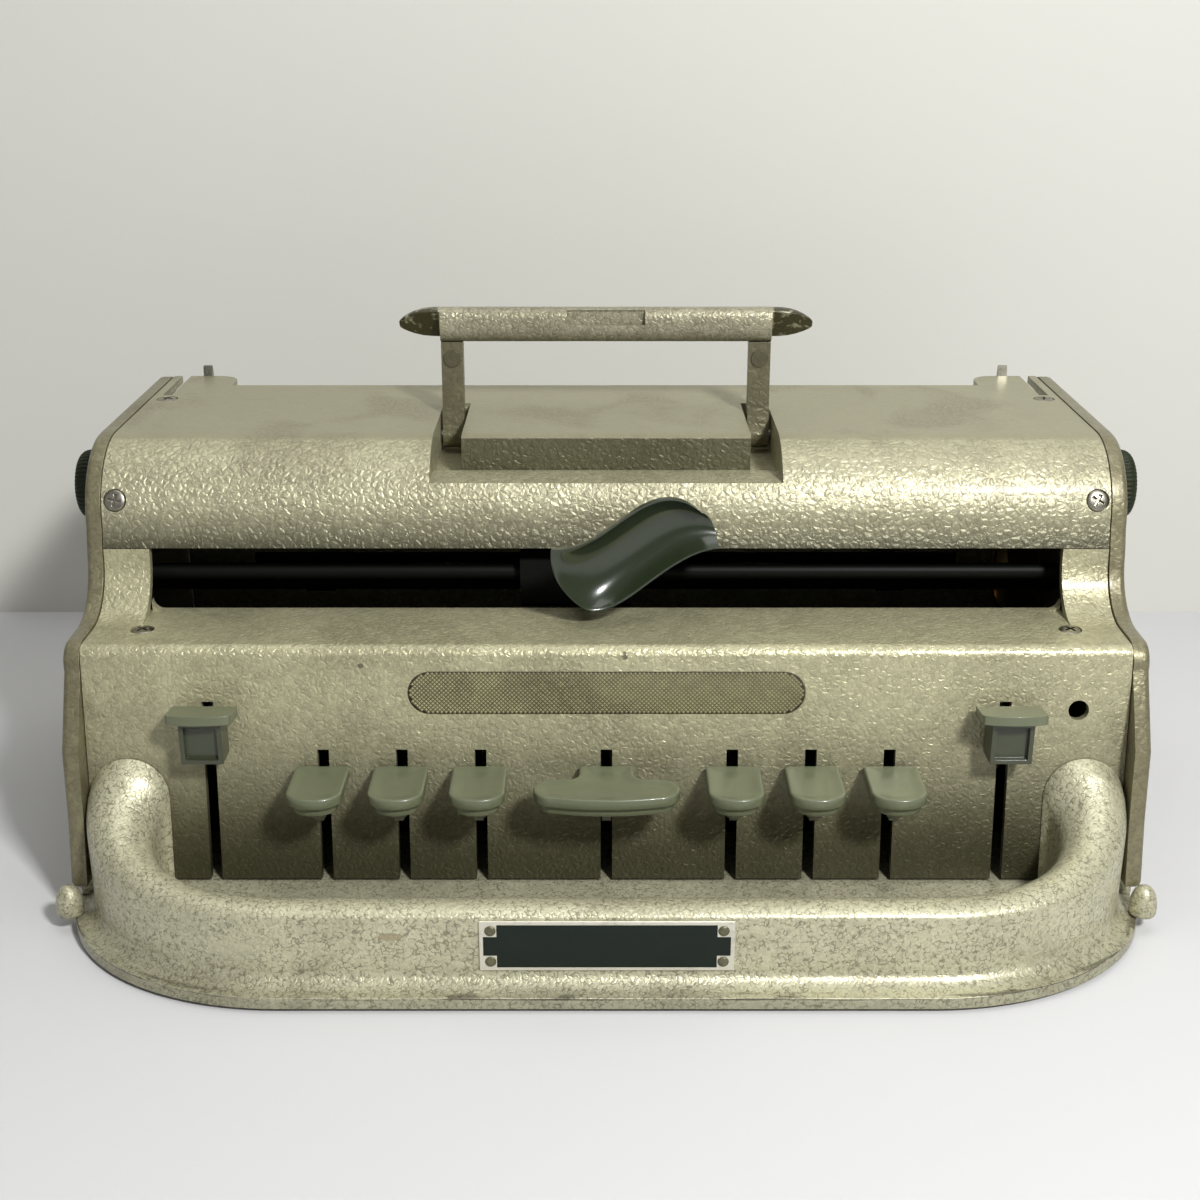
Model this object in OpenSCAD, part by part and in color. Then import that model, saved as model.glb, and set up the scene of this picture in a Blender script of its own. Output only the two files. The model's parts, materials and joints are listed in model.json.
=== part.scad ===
// Manual braille writer: a cast case with two end plates, a leaning front panel, a rolled
// top cover, nine keys, an embossing carriage with a thumb lever and a fold-down handle.
// Frame: X to the right, Y to the back, Z up. The origin is on the table under the middle.

/* [Case] */
// Width over the two end plates
case_w = 369; // [360:1:380]
// Front of the base rim, ahead of the origin
front_y = 117; // [114:1:122]
// Rear edge of the case, behind the origin
rear_y = 113.5; // [110:0.5:118]
// Height of the top cover
case_h = 152; // [150:0.5:156]
// Thickness of an end plate
plate_t = 6; // [5:0.5:8]
// Rounding of an end plate's outer edge
plate_round = 2.4; // [1:0.1:2.8]
// How far an end plate stands proud of the panel and the cover
plate_proud = 0.8; // [0.2:0.1:1.5]
// Wall of the panel, the cover and the rear panel
wall = 3; // [2:0.5:3.5]
// Seam left between neighbouring castings
seam = 0.3; // [0.2:0.05:0.5]

/* [Base casting] */
// Gap between the rim and the table
rim_lift = 1.5; // [1:0.1:2]
// Height of the rim's sharp edge
rim_h = 5.5; // [4:0.5:7]
// Where the concave flare above the rim ends
flare_h = 10.5; // [9:0.5:12]
// Top of the tray's skirt, on which the end plates stand
skirt_h = 14; // [12.5:0.5:15]
// Top of the tray's floor
floor_h = 11; // [9:0.5:12]
// Thickness of the tray's floor
floor_t = 3; // [2:0.5:4]
// Width of the rounded corner, seen from above
corner_w = 80.5; // [76:0.5:84]
// Depth of the rounded corner, seen from above
corner_d = 65; // [62:0.5:68]

/* [Front guard] */
// Height of the guard across the front
guard_h = 32; // [30:0.5:35]
// Width of the guard across the front
guard_w = 12; // [10:0.5:14]
// Height of the arch where the guard meets the panel
arch_h = 56; // [52:0.5:60]
// Width of the arch
arch_w = 27.5; // [24:0.5:28]
// Set-back of the guard's wall behind the rim
guard_set = 8; // [7:0.5:10]

/* [Front plate] */
// Width of the bare plate on the guard
plate_w = 81; // [76:0.5:86]
// Height of the plate
plate_h = 18; // [16:0.5:18.5]
// Height of the plate's middle over the table
plate_z = 20; // [19.8:0.1:20.2]

/* [Front panel] */
// Foot of the panel, ahead of the origin
foot_y = 54; // [52:0.5:56]
// Brow of the panel, ahead of the origin
brow_y = 44; // [42:0.5:46]
// Height of the ledge under the carriage window
ledge_h = 95; // [92:0.5:98]
// Radius of the brow
brow_r = 4; // [3.5:0.5:6]
// Rear edge of the ledge, ahead of the origin
window_y = 6; // [4:0.5:8]
// Length of the carriage window
window_w = 324; // [310:1:326]
// Height of the carriage window
window_h = 22.5; // [20:0.5:24]
// Radius of the fillet at each end of the ledge
upstand_r = 20; // [16:0.5:21]
// Width of a key slot
slot_w = 4; // [3.8:0.1:5]
// Length of the bare name recess
recess_w = 136; // [120:1:150]
// Height of the name recess
recess_h = 15.5; // [12:0.5:18]
// Depth of the name recess
recess_d = 0.8; // [0.5:0.1:1.2]
// Diameter of the access hole
access_d = 7; // [5:0.5:9]

/* [Top cover] */
// Radius of the rolled front edge
roll_r = 28; // [26:0.5:29]
// Front of the roll, ahead of the origin
roll_y = 4; // [3:0.5:5]
// Rear edge of the cover between its shoulders
throat_y = 97; // [95:0.5:99]
// Distance between the two shoulders
throat_w = 302; // [296:1:306]
// Radius of a shoulder's inner corner
shoulder_r = 8; // [5:0.5:10]

/* [Handle] */
// Distance of the hinge pins behind the origin
hinge_y = 53; // [52:0.5:54]
// Depth of the hinge pins under the cover's top
hinge_drop = 8.7; // [8:0.1:9]
// Radius from the hinge to the grip
swing_r = 42; // [41:0.5:42.5]
// Distance between the middles of the two legs
leg_span = 115.2; // [110:0.2:118]
// Width of a leg
leg_w = 8.2; // [7:0.2:9]
// Thickness of a leg
leg_t = 5; // [4:0.5:6]
// Height of the grip bar
grip_h = 12.6; // [11:0.2:13]
// Thickness of the grip bar
grip_t = 9; // [8:0.5:9.5]
// Length of the grip between its pointed ends
grip_w = 125.4; // [122:0.2:128]
// Length of a pointed end
point_l = 14.5; // [10:0.5:16]
// Radius of a hinge pin
hinge_r = 2; // [1.5:0.1:2.5]

/* [Keys] */
// Pitch of the dot keys
key_pitch = 27; // [25:0.5:28]
// Place of the first dot key from the middle
key_first = 43.2; // [42:0.2:46]
// Place of the two raised keys from the middle
raised_x = 136; // [132:0.5:138]
// Width of a dot key's cap
cap_w = 18.6; // [16:0.2:20]
// Depth of a dot key's cap
cap_l = 26; // [22:0.5:28]
// Height of the cap's top over the table
cap_h = 54; // [52:0.5:56]
// Thickness of the cap's plate
cap_t = 3.4; // [2.5:0.1:4]
// Width of the space key's bar
space_w = 49; // [44:1:56]
// Width of a raised key's plate
raised_w = 22; // [18:0.5:24]
// Height of a raised key's front edge
raised_h = 78; // [76:0.5:80]
// Thickness of a key lever
lever_t = 3; // [2:0.2:3.4]
// Height of a key lever
lever_h = 8; // [6:0.5:9]
// Radius of the shaft that the keys turn on
pivot_r = 3; // [2.5:0.5:4]

/* [Carriage and roller] */
// Radius of the paper roller
roller_r = 18; // [16:0.5:18]
// Radius of the roller's shaft
shaft_r = 4; // [3:0.5:5]
// Radius of a feed knob
knob_r = 13; // [11:0.5:15]
// How far a knob stands out past its end plate
knob_out = 12.5; // [10:0.5:15]
// Radius of the two rails that carry the carriage
rail_r = 3; // [2.5:0.5:4]
// Length of the carriage block
carriage_w = 40; // [30:1:46]
// Pitch of the cells along the escapement rack
cell_pitch = 6.2; // [6:0.1:6.4]
// Radial clearance of a turning or sliding fit
run_fit = 0.05; // [0.02:0.01:0.08]

/* [Hidden] */

half_w = case_w / 2;
inner_x = half_w - plate_t;
sheet_x = inner_x - seam;
panel_z = floor_h + 1;
lean = atan((foot_y - brow_y) / (ledge_h - panel_z));
cover_z = ledge_h + window_h;
roll_c = [roll_r - roll_y, case_h - roll_r];
plate_base = skirt_h;
under_z = floor_h - floor_t;
skirt_y = 0.6 - foot_y;
corner_x = half_w - corner_w;
corner_y = corner_d - front_y;
hinge_z = case_h - hinge_drop;
grip_back = 2;
facet_tilt = 33;
recess_x = leg_span / 2 + leg_w / 2 + 0.9;
tongue_x = leg_span / 2 - leg_w / 2 - 1.2;
trough_z = case_h - 12.5;
trough_y = hinge_y - swing_r + grip_h / 2 + 0.7;
channel_z = hinge_z - 6.3;
channel_y = hinge_y + 14;
slot_top = cap_h + 5;
raised_top = raised_h - 2;
pivot = [68, 30];
key_x = [for (i = [0:2]) key_first + key_pitch * i];
roller_y = 38;
roller_z = 128;
rail_1 = [8, 104];
rail_2 = [28, 97];
lever_x = -11;
stem_x = lever_x + 3;
stem_z = 102.2;
stem_front = -20.4;
cells = 42;
stop_z = 70;
stop_y = 101;
release = [104, 126];
release_x = 164.6;
stylus_r = 0.8;
screw_r = 3.8;
shank_r = 1.9;
face_angle = 21;
bore_depth = 4;

CHAMPAGNE = "#a9a386";
SHADE = "#8f8a6e";
KEY_GREEN = "#7f8672";
DISH_GREEN = "#4f5b48";
KNOB_GREEN = "#23291f";
STEEL = "#8f9191";
DARK = "#2b2b28";
BRASS = "#a58a4a";
RUBBER = "#1c1c1a";

// ---- shared shapes ----

function arc_pts(c, r, a0, a1, n = 8) =
    [for (i = [0:n]) let (a = a0 + (a1 - a0) * i / n) c + r * [cos(a), sin(a)]];

function panel_y(z) = -foot_y + (z - panel_z) * tan(lean);

function bezier(p, t) =
    pow(1 - t, 3) * p[0] + 3 * pow(1 - t, 2) * t * p[1]
    + 3 * (1 - t) * t * t * p[2] + t * t * t * p[3];

// Outline moved inwards by d; the points run counter-clockwise
function inset(pts, d) = let (n = len(pts)) [
    for (i = [0:n - 1])
        let (
            a = pts[(i + n - 1) % n], b = pts[i], c = pts[(i + 1) % n],
            u = (b - a) / norm(b - a), v = (c - b) / norm(c - b),
            p = [-u[1], u[0]], q = [-v[1], v[0]]
        ) b + d * (p + q) / (1 + p * q)
];

// Closed skin over rings of points; each ring runs counter-clockwise seen from the last one.
// The caps are flat, or on a sheet run as a strip between its two faces.
module skin(rings, sheet = false) {
    n = len(rings[0]);
    m = len(rings);
    last = (m - 1) * n;
    walls = [
        for (k = [0:m - 2]) for (i = [0:n - 1])
            let (a = k * n + i, b = k * n + (i + 1) % n)
                each [[a, a + n, b + n], [a, b + n, b]]
    ];
    flat = [[for (i = [0:n - 1]) i], [for (i = [n - 1:-1:0]) last + i]];
    strip = [
        for (i = [0:n / 2 - 2]) let (a = i, b = i + 1, c = n - 2 - i, d = n - 1 - i)
            each [[a, b, c], [a, c, d], [last + a, last + c, last + b], [last + a, last + d, last + c]]
    ];
    polyhedron([for (r = rings) each r], concat(walls, sheet ? strip : flat));
}

// An outline in Y and Z drawn out along X
module along_x(x0, x1) {
    translate([x0, 0, 0]) rotate([90, 0, 90]) linear_extrude(x1 - x0) children();
}

module rod_x(x0, x1, at, r) {
    translate([x0, at[0], at[1]]) rotate([0, 90, 0]) cylinder(h = x1 - x0, r = r, $fn = 48);
}

module both() {
    children();
    mirror([1, 0, 0]) children();
}

// Stands its children on the leaning panel; their -Y side faces out
module on_panel(x, z) {
    translate([x, panel_y(z), z]) rotate([-lean, 0, 0]) children();
}

// Places a screw's axis; it points out of the surface
module cover_face_screws() {
    both() translate([sheet_x - 4.7, roll_c[0] - roll_r * cos(face_angle),
        roll_c[1] + roll_r * sin(face_angle)]) rotate([90 - face_angle, 0, 0]) children();
}

module cover_top_screws() {
    both() translate([sheet_x - 6.5, 74, case_h]) children();
}

module ledge_screws() {
    both() translate([window_w / 2 - 1, -27, ledge_h]) children();
}

module screw_seat() {
    translate([0, 0, -1.3]) cylinder(h = 4, r = screw_r + 0.3, $fn = 32);
    translate([0, 0, -wall - 4]) cylinder(h = wall + 5, r = shank_r + 0.2, $fn = 24);
}

// Cross-head screw with a low dome
module screw() {
    difference() {
        union() {
            translate([0, 0, -1.2]) cylinder(h = 1, r = screw_r, $fn = 32);
            translate([0, 0, -0.2]) cylinder(h = 0.5, r1 = screw_r, r2 = screw_r - 1.4, $fn = 32);
            translate([0, 0, -9]) cylinder(h = 8, r = shank_r, $fn = 24);
        }
        for (a = [0, 90]) rotate([0, 0, a]) translate([-2.2, -0.45, -0.7]) cube([4.4, 0.9, 2]);
    }
}

// ---- base casting with the front guard ----

// Cross-section of the guard: distance in from the rim, and height. s runs from 0 at the
// panel to 1 across the front.
function guard_section(s) =
    let (
        near = pow(1 - s, 2),
        set = guard_set - (guard_set - plate_t - seam - 0.1) * near,
        half = (guard_w + (arch_w - guard_w) * near) / 2,
        crown = 3 + (arch_w / 2 - 3) * pow(1 - s, 1.6),
        h = guard_h + (arch_h - guard_h) * pow(1 - s, 3.2)
    ) concat(
        [[0, rim_lift], [set + 2, rim_lift], [set + 2, under_z - 0.8], [set + 2 * half, under_z - 0.8]],
        [for (a = [0:18:180]) [set + half + half * cos(a), h - crown + crown * sin(a)]],
        [for (a = [0:30:90]) [0.5 + (set - 0.5) * cos(a), flare_h - (flare_h - rim_h) * sin(a)]],
        [[0, rim_h - 0.7]]
    );

// One ring of the right half, at an angle round the corner
function guard_ring(a, side) =
    let (
        rim = [corner_x + corner_w * cos(a), corner_y - corner_d * sin(a)],
        n = [cos(a) / corner_w, -sin(a) / corner_d],
        unit = n / norm(n)
    ) [for (p = guard_section(a / 90)) let (q = rim - unit * p[0]) [side * q[0], q[1], p[1]]];

// The end that stands against the panel leans with it
function guard_end(side) =
    [for (p = guard_section(0)) [side * (half_w - p[0]), panel_y(p[1]) - seam, p[1]]];

module guard() {
    angles = [11, 16, 22, 28, 35, 42, 50, 59, 68, 78, 90];
    left = [for (a = angles) guard_ring(a, -1)];
    right = [for (i = [len(angles) - 1:-1:0]) guard_ring(angles[i], 1)];
    skin(concat([guard_end(-1)], left, right, [guard_end(1)]));
}

// Outline of the tray's floor: under the guard at the front, and up to the skirt behind it
function tray_outline() =
    let (
        d = guard_set + 4,
        edge = [for (a = [0:30:90])
            [corner_x + (corner_w - d) * cos(a), corner_y - (corner_d - d) * sin(a)]],
        half = concat([[half_w - 2, rear_y - 2], [half_w - 2, 4 - foot_y]], edge)
    ) concat(half, [for (i = [len(half) - 1:-1:0]) [-half[i][0], half[i][1]]]);

module foot_places() {
    for (x = [-1, 1]) {
        translate([x * (half_w - 40), -front_y + 38, 0]) children();
        translate([x * (half_w - 20), rear_y - 20, 0]) children();
    }
}

// Bracket that stands out at each corner of the base, cut back to clear the end plate
module corner_lug() {
    difference() {
        translate([half_w - 0.7, 0, rim_lift + 4.4]) {
            cylinder(h = 5.3, r = 4.6, $fn = 48);
            translate([0, 0, 5.3]) cylinder(h = 5.4, r1 = 4.6, r2 = 2.8, $fn = 48);
        }
        translate([half_w - 20, -10, skirt_h - 0.7]) cube([20 + seam, 20, 20]);
    }
}

module base_casting() {
    color(CHAMPAGNE) {
        guard();
        translate([0, 0, under_z]) linear_extrude(floor_t) polygon(tray_outline());
        both() {
            translate([inner_x, skirt_y, rim_lift])
                cube([plate_t - 0.4, rear_y - skirt_y, skirt_h - rim_lift]);
            for (y = [-foot_y - 13, rear_y - 16]) translate([0, y, 0]) corner_lug();
        }
        translate([-inner_x, rear_y - 5, rim_lift]) cube([2 * inner_x, 5, skirt_h - rim_lift]);
        for (x = [-90, 0, 90]) translate([x - 1.5, -front_y + 14, under_z - 4])
            cube([3, front_y + rear_y - 18, 4.5]);
        foot_places() translate([0, 0, under_z - 3]) cylinder(h = 3.5, r = 11, $fn = 48);
    }
}

module rubber_feet() {
    color(RUBBER) foot_places() rotate_extrude($fn = 48)
        polygon([[0, 0], [7.5, 0], [9, 1.5], [9, under_z - 3], [0, under_z - 3]]);
}

// ---- end plates ----

function plate_outline(e) = concat(
    [[rear_y + e, plate_base]],
    arc_pts([rear_y + e - 4, case_h + e / 2 - 4], 4, 0, 90, 4),
    arc_pts(roll_c, roll_r + e / 2, 90, 180, 14),
    arc_pts([-window_y - e - upstand_r, ledge_h + e + upstand_r], upstand_r, 358, 270, 10),
    arc_pts([-brow_y - e + 8, ledge_h + e - 8], 8, 90, 190, 7),
    [[-foot_y - 2.5, 62], [-foot_y - 5, 36], [-foot_y - 9, plate_base]]
);

module plate_blank() {
    outline = plate_outline(plate_proud);
    steps = concat([[0, 0], [plate_t - plate_round, 0]],
        [for (a = [30, 60, 90]) [plate_t - plate_round * (1 - sin(a)), plate_round * (1 - cos(a))]]);
    skin([for (s = steps) [for (p = inset(outline, s[1])) [inner_x + s[0], p[0], p[1]]]]);
}

// Seats inside the plate for the screws of the cover and the panel
module plate_lugs() {
    module lug(angle, l) {
        translate([0, 0, -wall - 0.1]) rotate([0, 0, angle]) translate([-4.5, -5, -8]) cube([l, 10, 8]);
    }
    translate([sheet_x - 4.7, roll_c[0] - roll_r * cos(face_angle),
        roll_c[1] + roll_r * sin(face_angle)]) rotate([90 - face_angle, 0, 0]) lug(0, 10);
    translate([sheet_x - 6.5, 74, case_h]) lug(0, 12);
    translate([window_w / 2 - 1, -27, ledge_h]) lug(0, inner_x - window_w / 2 + 6);
}

module end_plate() {
    difference() {
        union() {
            plate_blank();
            plate_lugs();
        }
        rod_x(inner_x - 1, half_w + 1, [roller_y, roller_z], shaft_r + 4);
        for (p = [pivot, rail_1, rail_2]) rod_x(inner_x - 1, inner_x + bore_depth, p, pin_r(p));
        rod_x(inner_x - 1, inner_x + bore_depth, release, 3 + run_fit);
        rod_x(inner_x - 1, inner_x + bore_depth, [stop_y, stop_z], 3);
        cover_face_screws() translate([0, 0, -20]) cylinder(h = 20, r = shank_r, $fn = 24);
        cover_top_screws() translate([0, 0, -20]) cylinder(h = 20, r = shank_r, $fn = 24);
        ledge_screws() translate([0, 0, -20]) cylinder(h = 20, r = shank_r, $fn = 24);
    }
}

function pin_r(p) = p == pivot ? pivot_r : rail_r;

module right_end_plate() { color(SHADE) end_plate(); }
module left_end_plate() { color(SHADE) mirror([1, 0, 0]) end_plate(); }

// ---- front panel ----

module panel_profile() {
    c = [-brow_y + brow_r, ledge_h - brow_r];
    polygon(concat(
        [[-foot_y, panel_z]], arc_pts(c, brow_r, 180 - lean, 90),
        [[-window_y, ledge_h], [-window_y, ledge_h - 9], [-window_y - wall, ledge_h - 9],
         [-window_y - wall, ledge_h - wall]],
        arc_pts(c, brow_r - wall, 90, 180 - lean, 3), [[-foot_y + wall, panel_z]]
    ));
}

module upstand_profile() {
    c = [-window_y - upstand_r, ledge_h + upstand_r];
    top = cover_z - seam;
    polygon(concat(
        arc_pts(c, upstand_r, 270, 360, 12), [[-window_y, top], [-window_y + wall, top]],
        arc_pts(c, upstand_r + wall, 360, 270, 12)
    ));
}

// Fillet in a lower corner of the carriage window
module window_corner() {
    translate([window_w / 2 - 4, -window_y, ledge_h - 0.01]) rotate([90, 0, 0])
        linear_extrude(wall) difference() {
            square([4.01, 4]);
            translate([0, 4]) circle(r = 4, $fn = 32);
        }
}

module key_slots() {
    module slot(x, top) {
        translate([x - slot_w / 2, -foot_y - 5, panel_z - 1]) cube([slot_w, 16, top - panel_z + 1]);
    }
    slot(0, slot_top);
    both() {
        for (x = key_x) slot(x, slot_top);
        slot(raised_x, raised_top);
    }
}

module recess_cut() {
    half = recess_w / 2 - recess_h / 2;
    on_panel(0, 79) rotate([90, 0, 0]) translate([0, 0, -recess_d]) {
        translate([-half, -recess_h / 2, 0]) cube([2 * half, recess_h, 4]);
        for (x = [-half, half]) translate([x, 0, 0]) cylinder(h = 4, r = recess_h / 2, $fn = 48);
    }
}

module front_panel() {
    color(CHAMPAGNE) difference() {
        union() {
            along_x(-sheet_x, sheet_x) panel_profile();
            both() {
                along_x(window_w / 2, sheet_x) upstand_profile();
                window_corner();
            }
        }
        key_slots();
        recess_cut();
        on_panel(window_w / 2 - 1, 73) rotate([90, 0, 0]) translate([0, 0, -8])
            cylinder(h = 12, r = access_d / 2, $fn = 32);
        ledge_screws() screw_seat();
    }
}

// ---- top cover ----

module cover_outer() {
    polygon(concat([[-window_y, cover_z]], arc_pts(roll_c, roll_r, 180, 90, 20),
        [[rear_y, case_h], [rear_y, cover_z]]));
}

module cover_inner() {
    polygon(concat([[-window_y + wall, cover_z - 1]], arc_pts(roll_c, roll_r - wall, 180, 90, 20),
        [[rear_y + 9, case_h - wall], [rear_y + 9, cover_z - 1]]));
}

// The hollow that the folded handle lies in, grown by g for its walls
module handle_hollow(g) {
    translate([-recess_x - g, -20, trough_z - g]) cube([2 * (recess_x + g), trough_y + 20 + g, 30]);
    both() translate([tongue_x - g, trough_y - g - 1, channel_z - g])
        cube([recess_x - tongue_x + 2 * g, channel_y - trough_y + 2 * g + 1, 30]);
}

module throat_cut() {
    c = throat_w / 2 + shoulder_r;
    y = rear_y - shoulder_r;
    translate([0, 0, cover_z - 1]) linear_extrude(case_h) polygon(concat(
        [[-throat_w / 2, throat_y]], arc_pts([-c, y], shoulder_r, 0, 90, 6), [[-c, rear_y + 9], [c, rear_y + 9]],
        arc_pts([c, y], shoulder_r, 90, 180, 6), [[throat_w / 2, throat_y]]
    ));
}

module top_cover() {
    color(CHAMPAGNE) difference() {
        along_x(-sheet_x, sheet_x) cover_outer();
        handle_hollow(0);
        difference() {
            along_x(-sheet_x - 1, sheet_x + 1) cover_inner();
            handle_hollow(wall);
        }
        throat_cut();
        both() translate([sheet_x - 6.7, 80, case_h - 9]) cube([3.5, rear_y, 20]);
        rod_x(-recess_x - wall - 1, recess_x + wall + 1, [hinge_y, hinge_z], hinge_r);
        cover_face_screws() screw_seat();
        cover_top_screws() screw_seat();
    }
}

module hinge_pins() {
    color(STEEL) both() rod_x(tongue_x - wall, recess_x + wall, [hinge_y, hinge_z], hinge_r);
}

module cover_screws() {
    color(STEEL) {
        cover_face_screws() screw();
        cover_top_screws() screw();
    }
}

module panel_screws() { color(STEEL) ledge_screws() screw(); }

// ---- front plate, left bare ----

module front_plate() {
    color(DARK) translate([-plate_w / 2, -front_y + guard_set - 0.8, plate_z - plate_h / 2])
        rotate([90, 0, 0]) mirror([0, 0, 1]) linear_extrude(0.8) difference() {
            square([plate_w, plate_h]);
            for (x = [3.6, plate_w - 3.6], y = [3.4, plate_h - 3.4])
                translate([x, y]) circle(r = 1, $fn = 24);
        }
}

module plate_pins() {
    color(STEEL) for (x = [3.6, plate_w - 3.6], y = [3.4, plate_h - 3.4])
        translate([x - plate_w / 2, -front_y + guard_set, plate_z - plate_h / 2 + y])
            rotate([90, 0, 0]) rotate_extrude($fn = 24)
                polygon([[0, 0], [0.98, 0], [0.98, 0.8], [1.8, 0.8], [1.4, 1.3], [0, 1.5]]);
}

// ---- rear panel and paper path ----

module rear_panel() {
    top = case_h - 4;
    low = 118;
    color(SHADE) difference() {
        translate([0, rear_y - 0.5, 0]) rotate([90, 0, 0]) linear_extrude(wall) polygon([
            [-sheet_x, skirt_h], [sheet_x, skirt_h], [sheet_x, low], [throat_w / 2 - 0.6, low],
            [throat_w / 2 - 0.6, top], [-throat_w / 2 + 0.6, top], [-throat_w / 2 + 0.6, low],
            [-sheet_x, low]
        ]);
        translate([-150, rear_y - 20, stop_z - 2.5]) cube([300, 30, 5]);
    }
}

// Curved guide that turns the paper under the roller
module paper_guide() {
    c = [roller_y, roller_z];
    guide_r = roller_r + 2.5;
    color(STEEL) along_x(-sheet_x, sheet_x) polygon(concat(
        arc_pts(c, guide_r, -60, -22, 8), [[92, 117], [92, 115.5]],
        arc_pts(c, guide_r + 1.5, -24, -60, 8)
    ));
}

// ---- keys ----

module lever(x, tip) {
    color(STEEL) translate([x, 0, 0]) difference() {
        union() {
            along_x(-lever_t / 2, lever_t / 2) lever_outline(tip);
            rod_x(-lever_t / 2 - 1.5, lever_t / 2 + 1.5, pivot, pivot_r + 4);
        }
        rod_x(-10, 10, pivot, pivot_r + run_fit);
    }
}

// Side view of a lever: a straight bar from the pivot, with a rise near the panel
module lever_outline(tip) {
    h = lever_h / 2;
    knee = [-28, pivot[1] + 10];
    polygon([
        [pivot[0], pivot[1] + h], [knee[0] + 4, knee[1] + h], [knee[0] - 6, tip[1] + h],
        [tip[0], tip[1] + h], [tip[0], tip[1] - h],
        [knee[0] + 2, knee[1] - h], [pivot[0], pivot[1] - h]
    ]);
}

// D-shaped outline: square at the back and round at the front
function cap_outline(w, l, g) = let (r = w / 2 - g) concat(
    [[w / 2 - g, -g], [-w / 2 + g, -g]],
    [for (a = [180:15:360]) [r * cos(a), -l + g + r * 0.72 + r * 0.72 * sin(a)]]
);

module cap_at(x) {
    translate([x, panel_y(cap_h) - 1.4, 0]) children();
}

module dot_cap(x) {
    color(KEY_GREEN) cap_at(x) {
        translate([0, 0, cap_h - cap_t]) linear_extrude(cap_t) polygon(cap_outline(cap_w, cap_l, 0));
        translate([0, 0, cap_h - cap_t - 2.4]) linear_extrude(2.4)
            polygon(cap_outline(cap_w, cap_l, 2.6));
        difference() {
            translate([0, -2, cap_h - cap_t - 9]) linear_extrude(7)
                polygon(cap_outline(cap_w * 0.6, cap_l * 0.7, 0.5));
            cap_socket();
        }
    }
}

// Slot under a cap for its lever
module cap_socket() {
    translate([-lever_t / 2 - 0.05, -40, 0]) cube([lever_t + 0.1, 60, cap_h - cap_t - 3 + lever_h / 2]);
}

module dot_lever(x) { lever(x, [panel_y(cap_h) - 14, cap_h - cap_t - 2.4 - lever_h / 2 - 0.6]); }

// T-shaped outline: a bar with round ends on a short stem
module space_outline(g) {
    half = space_w / 2 - 7;
    for (x = [-half, half]) translate([x, -cap_l + 9]) circle(r = 7 - g, $fn = 48);
    translate([-half, -cap_l + 2 + g]) square([2 * half, 14 - 2 * g]);
    translate([-cap_w / 2 + g, -cap_l + 12]) square([cap_w - 2 * g, cap_l - 12 - g]);
    translate([-space_w * 0.3, -cap_l + g]) square([space_w * 0.6, 5]);
}

module space_cap() {
    color(KEY_GREEN) cap_at(0) {
        translate([0, 0, cap_h - cap_t]) linear_extrude(cap_t) space_outline(0);
        translate([0, 0, cap_h - cap_t - 2.4]) linear_extrude(2.4) space_outline(2.2);
        difference() {
            translate([-6, -cap_l + 6, cap_h - cap_t - 9]) cube([12, cap_l - 9, 7]);
            cap_socket();
        }
    }
}

module space_lever() { dot_lever(0); }

// Raised key: a tilted finger plate over a hollow square block
module raised_cap(x) {
    y = panel_y(raised_h) - 3.4;
    block = 14.2;
    color(KEY_GREEN) translate([x, y, 0]) difference() {
        union() {
            translate([0, -13, raised_h - 3.4]) rotate([-8, 0, 0]) linear_extrude(3.2) polygon(
                concat([[raised_w / 2, 12.5], [-raised_w / 2, 12.5]],
                [for (a = [180:20:360]) [raised_w / 2 * cos(a), 2.2 + 3 * sin(a)]]));
            translate([-block / 2, -10, raised_h - 19]) cube([block, 10, 15.4]);
        }
        translate([-block / 2 + 1.6, -11, raised_h - 17.4]) cube([block - 3.2, 3, 11.6]);
        translate([-lever_t / 2 - 0.05, -5, 0]) cube([lever_t + 0.1, 20, raised_lever_top() + 0.05]);
    }
}

function raised_lever_top() = raised_h - 7;

module raised_lever(x) {
    lever(x, [panel_y(raised_h) - 8.3, raised_lever_top() - lever_h / 2]);
}

module key_pivot_shaft() {
    color(STEEL) rod_x(-inner_x - bore_depth, inner_x + bore_depth, pivot, pivot_r);
}

module each_key_x() {
    for (x = concat([0], key_x, [raised_x], [for (x = key_x) -x], [-raised_x]))
        translate([x, 0, 0]) children();
}

// Upright comb that keeps the levers apart
module key_comb() {
    color(STEEL) difference() {
        translate([-raised_x - 14, -18, floor_h]) cube([2 * raised_x + 28, 2, 42]);
        each_key_x() translate([-slot_w / 2, -20, floor_h + 8]) cube([slot_w, 6, 60]);
    }
}

function lever_top(y) = pivot[1] + lever_h / 2 + (pivot[0] - y) * 10 / (pivot[0] + 24);

// Angle bar across the case; its lip stops the levers, and their springs hang from it
module key_stop_bar() {
    low = lever_top(14) + 0.4;
    color(STEEL) {
        translate([-inner_x, 14, low]) cube([2 * inner_x, 2.5, 16]);
        translate([-inner_x, 14, low + 14]) cube([2 * inner_x, 40, 2]);
    }
}

module return_springs() {
    low = lever_top(44) + 0.4;
    top = lever_top(14) + 14.4;
    color(STEEL) each_key_x() translate([0, 46, low]) difference() {
        cylinder(h = top - low, r = 3, $fn = 24);
        translate([0, 0, -1]) cylinder(h = top - low + 2, r = 2.2, $fn = 24);
    }
}

// ---- carriage ----

module front_rail() {
    color(STEEL) rod_x(-inner_x - bore_depth, inner_x + bore_depth, rail_1, rail_r);
}

module rear_rail() {
    color(STEEL) rod_x(-inner_x - bore_depth, inner_x + bore_depth, rail_2, rail_r);
}

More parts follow.
